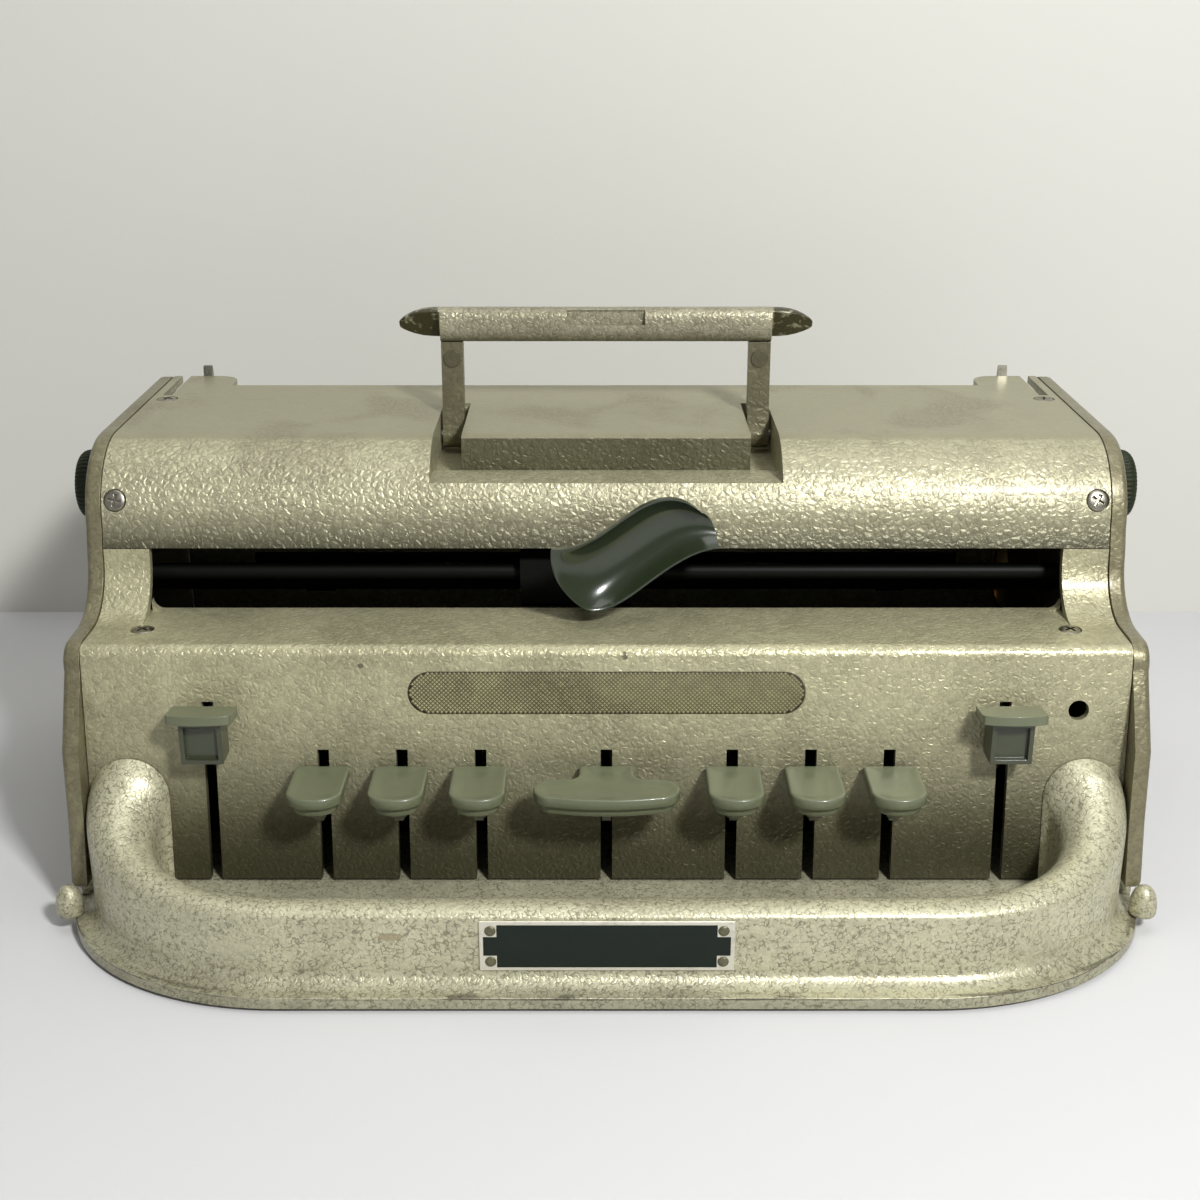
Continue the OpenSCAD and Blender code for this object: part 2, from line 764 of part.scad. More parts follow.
// Toothed rack that the carriage steps along, one tooth for each cell
module escapement_rack() {
    l = cells * cell_pitch;
    color(STEEL) {
        translate([0, 46, 0]) rotate([90, 0, 0]) linear_extrude(3) polygon(concat(
            [[l / 2 + 6, 94], [l / 2 + 6, 84], [-l / 2 - 6, 84], [-l / 2 - 6, 94]],
            [for (i = [0:cells - 1]) let (x = -l / 2 + i * cell_pitch)
                each [[x, 94], [x + cell_pitch * 0.8, 97], [x + cell_pitch * 0.8, 94]]]
        ));
        both() translate([l / 2, 43, 84]) cube([inner_x - l / 2, 3, 8]);
    }
}

module carriage_block() {
    x = lever_x - carriage_w / 2;
    color(DARK) difference() {
        along_x(x, x + carriage_w) polygon([
            [1, 94], [1, 110], [5, 113], [14, 113], [18, 106], [34, 104], [34, 91], [6, 91]
        ]);
        rod_x(-200, 200, rail_1, rail_r + run_fit);
        rod_x(-200, 200, rail_2, rail_r + run_fit);
        translate([stem_x - 3.1, 0, stem_z - 0.1]) cube([6.2, 4, 6.2]);
        stylus_places() translate([0, 0, 104]) cylinder(h = 9, r = stylus_r, $fn = 24);
    }
}

// The six dots of a cell, in two columns
module stylus_places() {
    for (i = [0:2], j = [0, 1])
        translate([lever_x - 1.15 + 2.3 * j, 21 + 2.5 * i, 0]) children();
}

module styli() {
    color(BRASS) stylus_places() translate([0, 0, 104]) cylinder(h = 3.6, r = stylus_r, $fn = 24);
}

module lever_stem() {
    color(DARK) translate([stem_x - 3, stem_front, stem_z]) cube([6, 4 - stem_front, 6]);
}

// Thumb lever: an S-shaped dish, drawn from its upper and lower edges
function dish_point(u, v) =
    let (
        top = bezier([[-18.9, 124.5], [0.6, 120.5], [13, 152.2], [32.4, 134.9]], u),
        low = bezier([[-8.8, 103.2], [3.9, 93.8], [19.6, 121], [39.1, 121.5]], u),
        bow = 4 * v * (1 - v) * (pow(1 - u, 3) * [-3.2, -0.9] + pow(u, 3) * [1.2, 0.4]),
        p = (1 - v) * top + v * low + bow,
        sink = 8 * (1 - pow(abs(2 * v - 1), 3)) * (1 - pow(1 - u, 5)) * (1 - 0.3 * pow(u, 5))
    ) [p[0], -27 + 9 * u + sink, p[1]];

module carriage_lever() {
    across = [0:0.1:1];
    back = [0, 2.4, 0];
    rings = [for (u = [0:1 / 14:1.001]) concat(
        [for (v = across) dish_point(u, v)],
        [for (v = across) dish_point(u, 1 - v) + back]
    )];
    color(DISH_GREEN) skin(rings, true);
}

// ---- paper roller, knobs and line-space ratchet ----

roller_gap = [48, recess_x + wall + 1.5];

module roller_bushes() {
    color(BRASS) both() difference() {
        union() {
            rod_x(inner_x, half_w - 0.4, [roller_y, roller_z], shaft_r + 3.98);
            rod_x(inner_x - 2, inner_x, [roller_y, roller_z], shaft_r + 6);
        }
        rod_x(inner_x - 5, half_w + 5, [roller_y, roller_z], shaft_r + run_fit);
    }
}

module roller_shaft() {
    end = half_w + knob_out - 4;
    color(STEEL) rod_x(-end, end, [roller_y, roller_z], shaft_r);
}

module paper_roller() {
    module drum(x0, x1) {
        difference() {
            rod_x(x0, x1, [roller_y, roller_z], roller_r);
            rod_x(x0 - 1, x1 + 1, [roller_y, roller_z], shaft_r);
        }
    }
    color(DARK) {
        drum(-roller_gap[0], roller_gap[0]);
        both() drum(roller_gap[1], inner_x - 14);
    }
}

// Ribbed knob with a rounded outer edge
module knob() {
    x0 = half_w + 0.8;
    l = knob_out - 0.8;
    ribs = 30;
    difference() {
        intersection() {
            translate([x0, roller_y, roller_z]) rotate([90, 0, 90]) linear_extrude(l) polygon([
                for (i = [0:4 * ribs - 1]) let (r = knob_r - (i % 4 < 2 ? 0 : 0.5))
                    r * [cos(90 * i / ribs), sin(90 * i / ribs)]
            ]);
            translate([x0, roller_y, roller_z]) rotate([0, 90, 0]) rotate_extrude($fn = 64)
                polygon(concat([[0, 0], [knob_r, 0]], arc_pts([knob_r - 3.5, l - 3.5], 3.5, 0, 90, 6),
                    [[0, l]]));
        }
        rod_x(x0 - 1, half_w + knob_out - 4, [roller_y, roller_z], shaft_r);
    }
}

module right_knob() { color(KNOB_GREEN) knob(); }
module left_knob() { color(KNOB_GREEN) mirror([1, 0, 0]) knob(); }

module ratchet_wheel() {
    teeth = 24;
    x = -inner_x + 6;
    color(STEEL) difference() {
        along_x(x, x + 3) translate([roller_y, roller_z]) polygon([
            for (i = [0:teeth - 1]) let (a = 360 / teeth * i)
                each [14 * [cos(a), sin(a)], 17 * [cos(a + 11), sin(a + 11)]]
        ]);
        rod_x(x - 1, x + 4, [roller_y, roller_z], shaft_r);
    }
}

// ---- paper release ----

module release_shaft() {
    color(STEEL) rod_x(-inner_x - bore_depth + 0.5, inner_x + bore_depth - 0.5, release, 3);
}

module release_levers() {
    color(STEEL) both() difference() {
        along_x(release_x - 1.8, release_x + 1.8) polygon([
            [100, 122], [108, 122], [116.9, 138], [116.9, 152], [116, 156], [114.8, 156],
            [114, 152], [114, 141], [104, 131], [99, 129]
        ]);
        rod_x(release_x - 5, release_x + 5, release, 3);
    }
}

module pressure_rollers() {
    at = [roller_y + roller_r + 6.5, roller_z + 2];
    color(RUBBER) both() {
        for (x = [74, 128]) difference() {
            along_x(x - 1, x + 1) polygon([[at[0] - 3, at[1] - 3], [106, 121.5], [108, 123], [108, 129],
                [106, 130.5], [at[0] - 3, at[1] + 3]]);
            rod_x(x - 2, x + 2, release, 3);
        }
        rod_x(75, 127, at, 6);
    }
}

// ---- margin stops, bell and main spring ----

module margin_rail() {
    color(STEEL) rod_x(-inner_x - bore_depth, inner_x + bore_depth, [stop_y, stop_z], 3);
}

module margin_stop(x) {
    color(STEEL) difference() {
        union() {
            translate([x - 6, stop_y - 6, stop_z - 6]) cube([12, 11, 12]);
            translate([x - 3, stop_y + 3, stop_z - 2]) cube([6, rear_y - stop_y, 4]);
        }
        rod_x(x - 10, x + 10, [stop_y, stop_z], 3 + run_fit);
    }
}

module left_margin_stop() { margin_stop(-120); }
module right_margin_stop() { margin_stop(120); }

module bell() {
    color(BRASS) translate([-150, 78, floor_h]) rotate_extrude($fn = 48) polygon(concat(
        [[0, 0], [3, 0], [3, 13]], arc_pts([0, 0], 14.5, 78, 18, 8), arc_pts([0, 0], 16, 18, 90, 8)
    ));
}

module spring_barrel() {
    color(BRASS) difference() {
        union() {
            rod_x(inner_x - 16, inner_x - 4, [82, 76], 16);
            rod_x(inner_x - 4, inner_x, [82, 76], 5);
        }
        rod_x(inner_x - 17, inner_x - 15, [82, 76], 12);
    }
}

// ---- handle ----

// Section of the grip: a rounded bar, higher than it is thick
function grip_ring(x, s) = [
    for (a = [0:15:345]) let (c = cos(a), d = sin(a), k = pow(pow(abs(c), 3) + pow(abs(d), 3), -1 / 3))
        [x, hinge_y + grip_back + grip_t / 2 * s * c * k, hinge_z + swing_r + grip_h / 2 * s * d * k]
];

module handle_grip() {
    half = grip_w / 2;
    taper = [0.18, 0.42, 0.62, 0.79, 0.92, 0.98];
    left = [for (i = [0:5]) grip_ring(-half - point_l * (1 - pow(i / 5.5, 1.3)), taper[i])];
    right = [for (i = [5:-1:0]) grip_ring(half + point_l * (1 - pow(i / 5.5, 1.3)), taper[i])];
    top = hinge_z + swing_r + grip_h / 2;
    color(CHAMPAGNE) difference() {
        skin(concat(left, [grip_ring(-half, 1), grip_ring(half, 1)], right));
        translate([-14, hinge_y + grip_back - grip_t / 2 - 1, top - 4.2]) cube([28, 3.4, 6]);
        both() translate([recess_x - 0.5, hinge_y + grip_back, hinge_z + swing_r])
            rotate([facet_tilt, 0, 0]) translate([0, -20, -20]) cube([30, 20, 40]);
    }
}

module handle_legs() {
    top = hinge_z + swing_r - grip_h / 2 + 0.02;
    color(SHADE) both() difference() {
        along_x(leg_span / 2 - leg_w / 2, leg_span / 2 + leg_w / 2) union() {
            translate([hinge_y, hinge_z]) circle(r = 5, $fn = 48);
            polygon([[hinge_y - 4.9, hinge_z + 1], [hinge_y - 2, hinge_z + 12], [hinge_y - 0.8, top],
                [hinge_y - 0.8 + leg_t, top], [hinge_y + 2.5, hinge_z + 12], [hinge_y + 4.9, hinge_z + 1]]);
        }
        rod_x(0, case_w, [hinge_y, hinge_z], hinge_r + run_fit);
        translate([leg_span / 2, hinge_y - 5, hinge_z + swing_r - 12.5]) rotate([-90, 0, 0])
            cylinder(h = 20, r = 2.2, $fn = 24);
    }
}

module handle_rivets() {
    color(SHADE) both() translate([leg_span / 2, hinge_y - 1.75, hinge_z + swing_r - 12.5])
        rotate([-90, 0, 0]) {
            cylinder(h = leg_t + 1.2, r = 2.2, $fn = 24);
            cylinder(h = 0.45, r = 3.2, $fn = 32);
        }
}

base_casting();
left_end_plate();
right_end_plate();
front_panel();
top_cover();
rear_panel();
paper_guide();
front_plate();
plate_pins();
rubber_feet();
cover_screws();
panel_screws();
key_pivot_shaft();
key_comb();
key_stop_bar();
return_springs();
front_rail();
rear_rail();
escapement_rack();
roller_bushes();
margin_rail();
bell();
spring_barrel();
hinge_pins();
handle_grip();
handle_legs();
handle_rivets();
space_cap();
space_lever();
dot_cap(-key_x[0]);  // key_1_cap
dot_lever(-key_x[0]);  // key_1_lever
dot_cap(-key_x[1]);  // key_2_cap
dot_lever(-key_x[1]);  // key_2_lever
dot_cap(-key_x[2]);  // key_3_cap
dot_lever(-key_x[2]);  // key_3_lever
dot_cap(key_x[0]);  // key_4_cap
dot_lever(key_x[0]);  // key_4_lever
dot_cap(key_x[1]);  // key_5_cap
dot_lever(key_x[1]);  // key_5_lever
dot_cap(key_x[2]);  // key_6_cap
dot_lever(key_x[2]);  // key_6_lever
raised_cap(-raised_x);  // line_cap
raised_lever(-raised_x);  // line_lever
raised_cap(raised_x);  // backspace_cap
raised_lever(raised_x);  // backspace_lever
carriage_block();
styli();
lever_stem();
carriage_lever();
paper_roller();
roller_shaft();
left_knob();
right_knob();
ratchet_wheel();
release_shaft();
release_levers();
pressure_rollers();
left_margin_stop();
right_margin_stop();
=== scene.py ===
"""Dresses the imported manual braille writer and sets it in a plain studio.

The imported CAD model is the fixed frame. Each class below holds one sub-assembly: the sizes that the
part's source names, the finer meshes that stand for CAD nodes, and their finishes. Lengths are in
millimetres until a mesh is made.
"""

from __future__ import annotations

import json
import logging
import math
from dataclasses import dataclass
from enum import Enum
from typing import Any, Callable, Sequence

import bmesh
import bpy
from mathutils import Matrix, Vector

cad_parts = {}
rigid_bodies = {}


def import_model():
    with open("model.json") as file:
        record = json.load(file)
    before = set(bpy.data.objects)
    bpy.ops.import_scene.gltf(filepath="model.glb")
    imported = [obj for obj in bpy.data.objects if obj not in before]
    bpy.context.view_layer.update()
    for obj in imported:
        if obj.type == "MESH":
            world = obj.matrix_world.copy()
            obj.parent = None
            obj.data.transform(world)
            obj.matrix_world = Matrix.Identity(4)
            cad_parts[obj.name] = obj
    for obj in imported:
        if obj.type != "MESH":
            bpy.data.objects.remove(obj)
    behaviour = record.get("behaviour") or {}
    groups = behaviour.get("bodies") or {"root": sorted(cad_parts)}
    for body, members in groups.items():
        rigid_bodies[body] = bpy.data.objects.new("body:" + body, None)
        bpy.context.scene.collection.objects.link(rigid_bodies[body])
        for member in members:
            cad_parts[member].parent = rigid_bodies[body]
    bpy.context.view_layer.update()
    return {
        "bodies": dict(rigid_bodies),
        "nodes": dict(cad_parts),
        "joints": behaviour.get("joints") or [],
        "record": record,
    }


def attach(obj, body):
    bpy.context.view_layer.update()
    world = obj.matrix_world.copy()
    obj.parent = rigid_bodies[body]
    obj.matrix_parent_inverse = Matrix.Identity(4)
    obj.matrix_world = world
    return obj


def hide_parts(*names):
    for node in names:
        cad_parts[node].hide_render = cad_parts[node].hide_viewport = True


LOG = logging.getLogger("braille_writer")
MM = 0.001
FAR = 1000.0  # beyond every part of the object, in millimetres

Node = bpy.types.Node
Socket = bpy.types.NodeSocket
Tree = bpy.types.NodeTree
Obj = bpy.types.Object
Material = bpy.types.Material
Rgba = tuple[float, float, float, float]
Quad = tuple[float, float, float, float]
Point = tuple[float, float, float]
Flat = tuple[float, float]
Ring = list[Point]
Spot = tuple[Point, Point, Point]
ACROSS = (1, 0, 0)


def srgb(*channels: float) -> Rgba:
    """Turns a screen colour into the linear colour that a shader takes.

    Args:
        channels: Red, green and blue, 0 to 255.

    Returns:
        The linear colour.
    """
    shares = (c / 255 for c in channels)
    red, green, blue = (c / 12.92 if c <= 0.04045 else ((c + 0.055) / 1.055) ** 2.4 for c in shares)
    return (red, green, blue, 1.0)


VEIN = srgb(74, 68, 48)
DIRT = srgb(84, 74, 52)
SCRATCH = srgb(64, 56, 42)
SHADE = srgb(38, 36, 14)
NICHE_SHADE = srgb(50, 48, 22)
RIM_WEAR = srgb(46, 38, 26)
KEY_SHADE = srgb(34, 38, 22)


class Body(Enum):
    """The CAD bodies that pieces ride on."""

    FRAME = "frame"
    HANDLE = "handle"
    CARRIAGE = "carriage"
    ROLLER = "roller"
    SPACE = "space_key"
    LINE = "line_key"
    BACKSPACE = "backspace_key"
    KEY_1 = "key_1"
    KEY_2 = "key_2"
    KEY_3 = "key_3"
    KEY_4 = "key_4"
    KEY_5 = "key_5"
    KEY_6 = "key_6"


class Slot(Enum):
    """The record's material slots."""

    PAINT = "paint"
    HANDLE_METAL = "handle_metal"
    KEY = "key_plastic"
    LEVER = "lever_plastic"
    KNOB = "knob_plastic"
    PLATE = "plate_enamel"
    ZINC = "zinc"
    STEEL = "steel"
    DARK = "dark_metal"
    BRASS = "brass"
    RUBBER = "rubber"
    ROLLER = "roller_rubber"


# ---------------------------------------------------------------- node trees


class Wiring:
    """Adds nodes to a tree and links them in the same call."""

    def __init__(self, tree: Tree) -> None:
        """Keeps the tree that nodes are added to."""
        self.tree = tree

    def feed(self, socket: Socket, value: Any) -> None:
        """Links a source to an input, or sets the input's value.

        Args:
            socket: The input.
            value: A socket, a node (its first output is taken) or a plain value.
        """
        if isinstance(value, Node):
            value = value.outputs[0]
        if isinstance(value, Socket):
            self.tree.links.new(value, socket)
        else:
            socket.default_value = value

    def add(self, kind: str, inputs: dict[Any, Any] | None = None, **settings: Any) -> Node:
        """Adds one node.

        Args:
            kind: Blender's name of the node type.
            inputs: Values or sources of its inputs, by name or number.
            settings: Properties set before its inputs are fed.

        Returns:
            The new node.
        """
        node = self.tree.nodes.new(kind)
        for key, value in settings.items():
            setattr(node, key, value)
        for key, value in (inputs or {}).items():
            self.feed(node.inputs[key], value)
        return node

    def fill(self, node: Node, **inputs: Any) -> None:
        """Feeds a node's inputs by name; an underscore stands for a space."""
        for label, value in inputs.items():
            self.feed(node.inputs[label.replace("_", " ")], value)

    def math(self, operation: str, *values: Any, clamp: bool = False) -> Socket:
        """Joins values by one operation, from left to right.

        Args:
            operation: Blender's name of the operation.
            values: One value for a function, else two or more.
            clamp: Whether the result is held between 0 and 1.

        Returns:
            The result.
        """
        node = self.add("ShaderNodeMath", dict(enumerate(values[:2])), operation=operation)
        for value in values[2:]:
            node = self.add("ShaderNodeMath", {0: node, 1: value}, operation=operation)
        node.use_clamp = clamp
        return node.outputs[0]

    def mul(self, *values: Any, clamp: bool = False) -> Socket:
        """Returns the values' product."""
        return self.math("MULTIPLY", *values, clamp=clamp)

    def plus(self, *values: Any) -> Socket:
        """Returns the values' sum."""
        return self.math("ADD", *values)

    def minus(self, first: Any, second: Any) -> Socket:
        """Returns the first value less the second."""
        return self.math("SUBTRACT", first, second)

    def step(self, value: Any, low: float, high: float) -> Socket:
        """Returns a smooth step of a value, 0 at low and 1 at high; low may be above high."""
        return self.add("ShaderNodeMapRange", {"Value": value, "From Min": low, "From Max": high},
                        interpolation_type="SMOOTHSTEP").outputs[0]

    def mix(self, share: Any, first: Any, second: Any, blend: str = "MIX") -> Socket:
        """Mixes two colours.

        Args:
            share: How much of the second colour is taken.
            first: The first colour.
            second: The second colour.
            blend: Blender's name of the blend.

        Returns:
            The mixed colour.
        """
        node = self.add("ShaderNodeMix", data_type="RGBA", blend_type=blend)
        for index, value in ((0, share), (6, first), (7, second)):
            self.feed(node.inputs[index], value)
        return node.outputs[2]

    def noise(self, place: Any, scale: Any, detail: float = 3.0, distortion: float = 0.0) -> Socket:
        """Returns a noise value over a position, with scale waves per millimetre."""
        return self.add("ShaderNodeTexNoise", {"Vector": place, "Scale": scale, "Detail": detail,
                                               "Distortion": distortion}).outputs["Fac"]

    def grey(self, value: Any) -> Node:
        """Returns the grey whose three channels are one value."""
        return self.add("ShaderNodeCombineColor", {"Red": value, "Green": value, "Blue": value})


FLOAT, COLOUR, VECTOR = "NodeSocketFloat", "NodeSocketColor", "NodeSocketVector"


class Finishes:
    """Shader node groups that several finishes share, each built once."""

    def __init__(self) -> None:
        """Builds the groups."""
        self.place = self._group("place_mm", {}, {"Place": VECTOR}, self._build_place)
        self.hammer = self._group(
            "hammer_enamel",
            {"Place": VECTOR, "Base": COLOUR, "Vein": COLOUR, "Cell": FLOAT, "Veins": FLOAT, "Mottle": FLOAT},
            {"Colour": COLOUR, "Height": FLOAT}, self._build_hammer)
        self.smudge = self._group(
            "smudge", {"Place": VECTOR, "Base": COLOUR, "Dirt": COLOUR, "Amount": FLOAT, "Size": FLOAT},
            {"Colour": COLOUR, "Mask": FLOAT}, self._build_smudge)
        self.scratch = self._group("scratches", {"Place": VECTOR, "Density": FLOAT}, {"Mask": FLOAT},
                                   self._build_scratch)

    @staticmethod
    def _group(name: str, inputs: dict[str, str], outputs: dict[str, str],
               build: Callable[[Wiring, dict[str, Any], Node], None]) -> Tree:
        """Makes a shader group with named sockets and fills it.

        Args:
            name: The group's name.
            inputs: Socket type of each input.
            outputs: Socket type of each output.
            build: Fills the group from its input sockets.

        Returns:
            The group.
        """
        tree = bpy.data.node_groups.new(name, "ShaderNodeTree")
        for way, sockets in (("INPUT", inputs), ("OUTPUT", outputs)):
            for label, kind in sockets.items():
                tree.interface.new_socket(label, in_out=way, socket_type=kind)
        wires = Wiring(tree)
        source, sink = wires.add("NodeGroupInput"), wires.add("NodeGroupOutput")
        build(wires, {s.name: s for s in source.outputs if s.name}, sink)
        return tree

    @staticmethod
    def _build_place(w: Wiring, _: dict[str, Any], out: Node) -> None:
        """Puts out the object's coordinates in millimetres."""
        coord = w.add("ShaderNodeTexCoord").outputs["Object"]
        w.feed(out.inputs["Place"], w.add("ShaderNodeVectorMath", {0: coord, 3: 1 / MM}, operation="SCALE"))

    @staticmethod
    def _build_hammer(w: Wiring, g: dict[str, Any], out: Node) -> None:
        """Hammered enamel: pebbled cells with thin dark veins between them.

        Args:
            w: The group's wiring.
            g: Its inputs.
            out: Its output node.
        """
        place = g["Place"]
        push = w.add("ShaderNodeTexNoise", {"Vector": place, "Scale": 0.5, "Detail": 2.0}).outputs["Color"]
        off = w.add("ShaderNodeVectorMath", {0: push, 1: (0.5, 0.5, 0.5)}, operation="SUBTRACT")
        pushed = w.add("ShaderNodeVectorMath", {0: off, 3: 2.2}, operation="SCALE")
        moved = w.add("ShaderNodeVectorMath", {0: place, 1: pushed}, operation="ADD")
        size = w.math("DIVIDE", 1.0, g["Cell"])
        edge = w.add("ShaderNodeTexVoronoi", {"Vector": moved, "Scale": size}, feature="DISTANCE_TO_EDGE")
        cell = w.add("ShaderNodeTexVoronoi", {"Vector": moved, "Scale": size}, feature="F1")
        tone = w.add("ShaderNodeSeparateColor", {"Color": cell.outputs["Color"]})
        gate = w.mul(w.step(w.noise(place, 0.06, 2.0, 0.6), 0.20, 0.46),
                     w.step(w.noise(moved, 0.6, 2.0), 0.42, 0.58))
        veins = w.mul(w.mul(w.step(edge, 0.15, 0.02), gate), g["Veins"], clamp=True)
        fine, wide = w.noise(place, 1.6, 4.0, 0.4), w.noise(place, 0.03, 2.0)
        shift = w.plus(w.mul(w.minus(tone.outputs["Red"], 0.5), 0.55),
                       w.plus(w.mul(w.minus(fine, 0.5), 1.5), w.mul(w.minus(wide, 0.5), 0.7)))
        toned = w.mix(1.0, g["Base"], w.grey(w.plus(1.0, w.mul(shift, g["Mottle"]))), "MULTIPLY")
        w.feed(out.inputs["Colour"], w.mix(veins, toned, g["Vein"]))
        w.feed(out.inputs["Height"], w.plus(w.step(edge, 0.0, 0.42), w.mul(fine, 0.45)))

    @staticmethod
    def _build_smudge(w: Wiring, g: dict[str, Any], out: Node) -> None:
        """Patchy dirt and rubbed marks.

        Args:
            w: The group's wiring.
            g: Its inputs.
            out: Its output node.
        """
        big = w.noise(g["Place"], w.math("DIVIDE", 1.0, g["Size"]), 4.0, 0.8)
        both = w.mul(w.step(big, 0.47, 0.70), w.step(w.noise(g["Place"], 0.9), 0.25, 0.65))
        mask = w.mul(both, g["Amount"], clamp=True)
        w.feed(out.inputs["Mask"], mask)
        w.feed(out.inputs["Colour"], w.mix(mask, g["Base"], g["Dirt"]))

    @staticmethod
    def _build_scratch(w: Wiring, g: dict[str, Any], out: Node) -> None:
        """Fine scratches that run mostly along the machine's width.

        Args:
            w: The group's wiring.
            g: Its inputs.
            out: Its output node.
        """
        stretch = w.add("ShaderNodeMapping", {"Vector": g["Place"], "Rotation": (0.2, 0.15, 0.35),
                                              "Scale": (0.05, 1.0, 0.9)})
        ridge = w.math("ABSOLUTE", w.minus(w.noise(stretch, 0.9, 2.0, 0.3), 0.5))
        gate = w.step(w.noise(g["Place"], 0.06), 0.56, 0.70)
        w.feed(out.inputs["Mask"], w.mul(w.mul(w.step(ridge, 0.008, 0.001), gate), g["Density"], clamp=True))

    @staticmethod
    def use(w: Wiring, group: Tree, **inputs: Any) -> Node:
        """Places one of the groups in a material and feeds its inputs."""
        return w.add("ShaderNodeGroup", inputs, node_tree=group)

    def start(self, name: str) -> tuple[Material, Wiring, Node, Socket]:
        """Opens a new material.

        Args:
            name: The material's name.

        Returns:
            The material, its wiring, its Principled BSDF and the position in millimetres.
        """
        material = bpy.data.materials.new(name)
        material.use_nodes = True
        w = Wiring(material.node_tree)
        place = self.use(w, self.place).outputs["Place"]
        return material, w, material.node_tree.nodes["Principled BSDF"], place


def bump(w: Wiring, bsdf: Node, height: Any, strength: float, depth: float) -> None:
    """Feeds a height, with a relief of some depth in millimetres, into a shader's normal."""
    w.feed(bsdf.inputs["Normal"],
           w.add("ShaderNodeBump", {"Height": height, "Strength": strength, "Distance": depth * MM}))


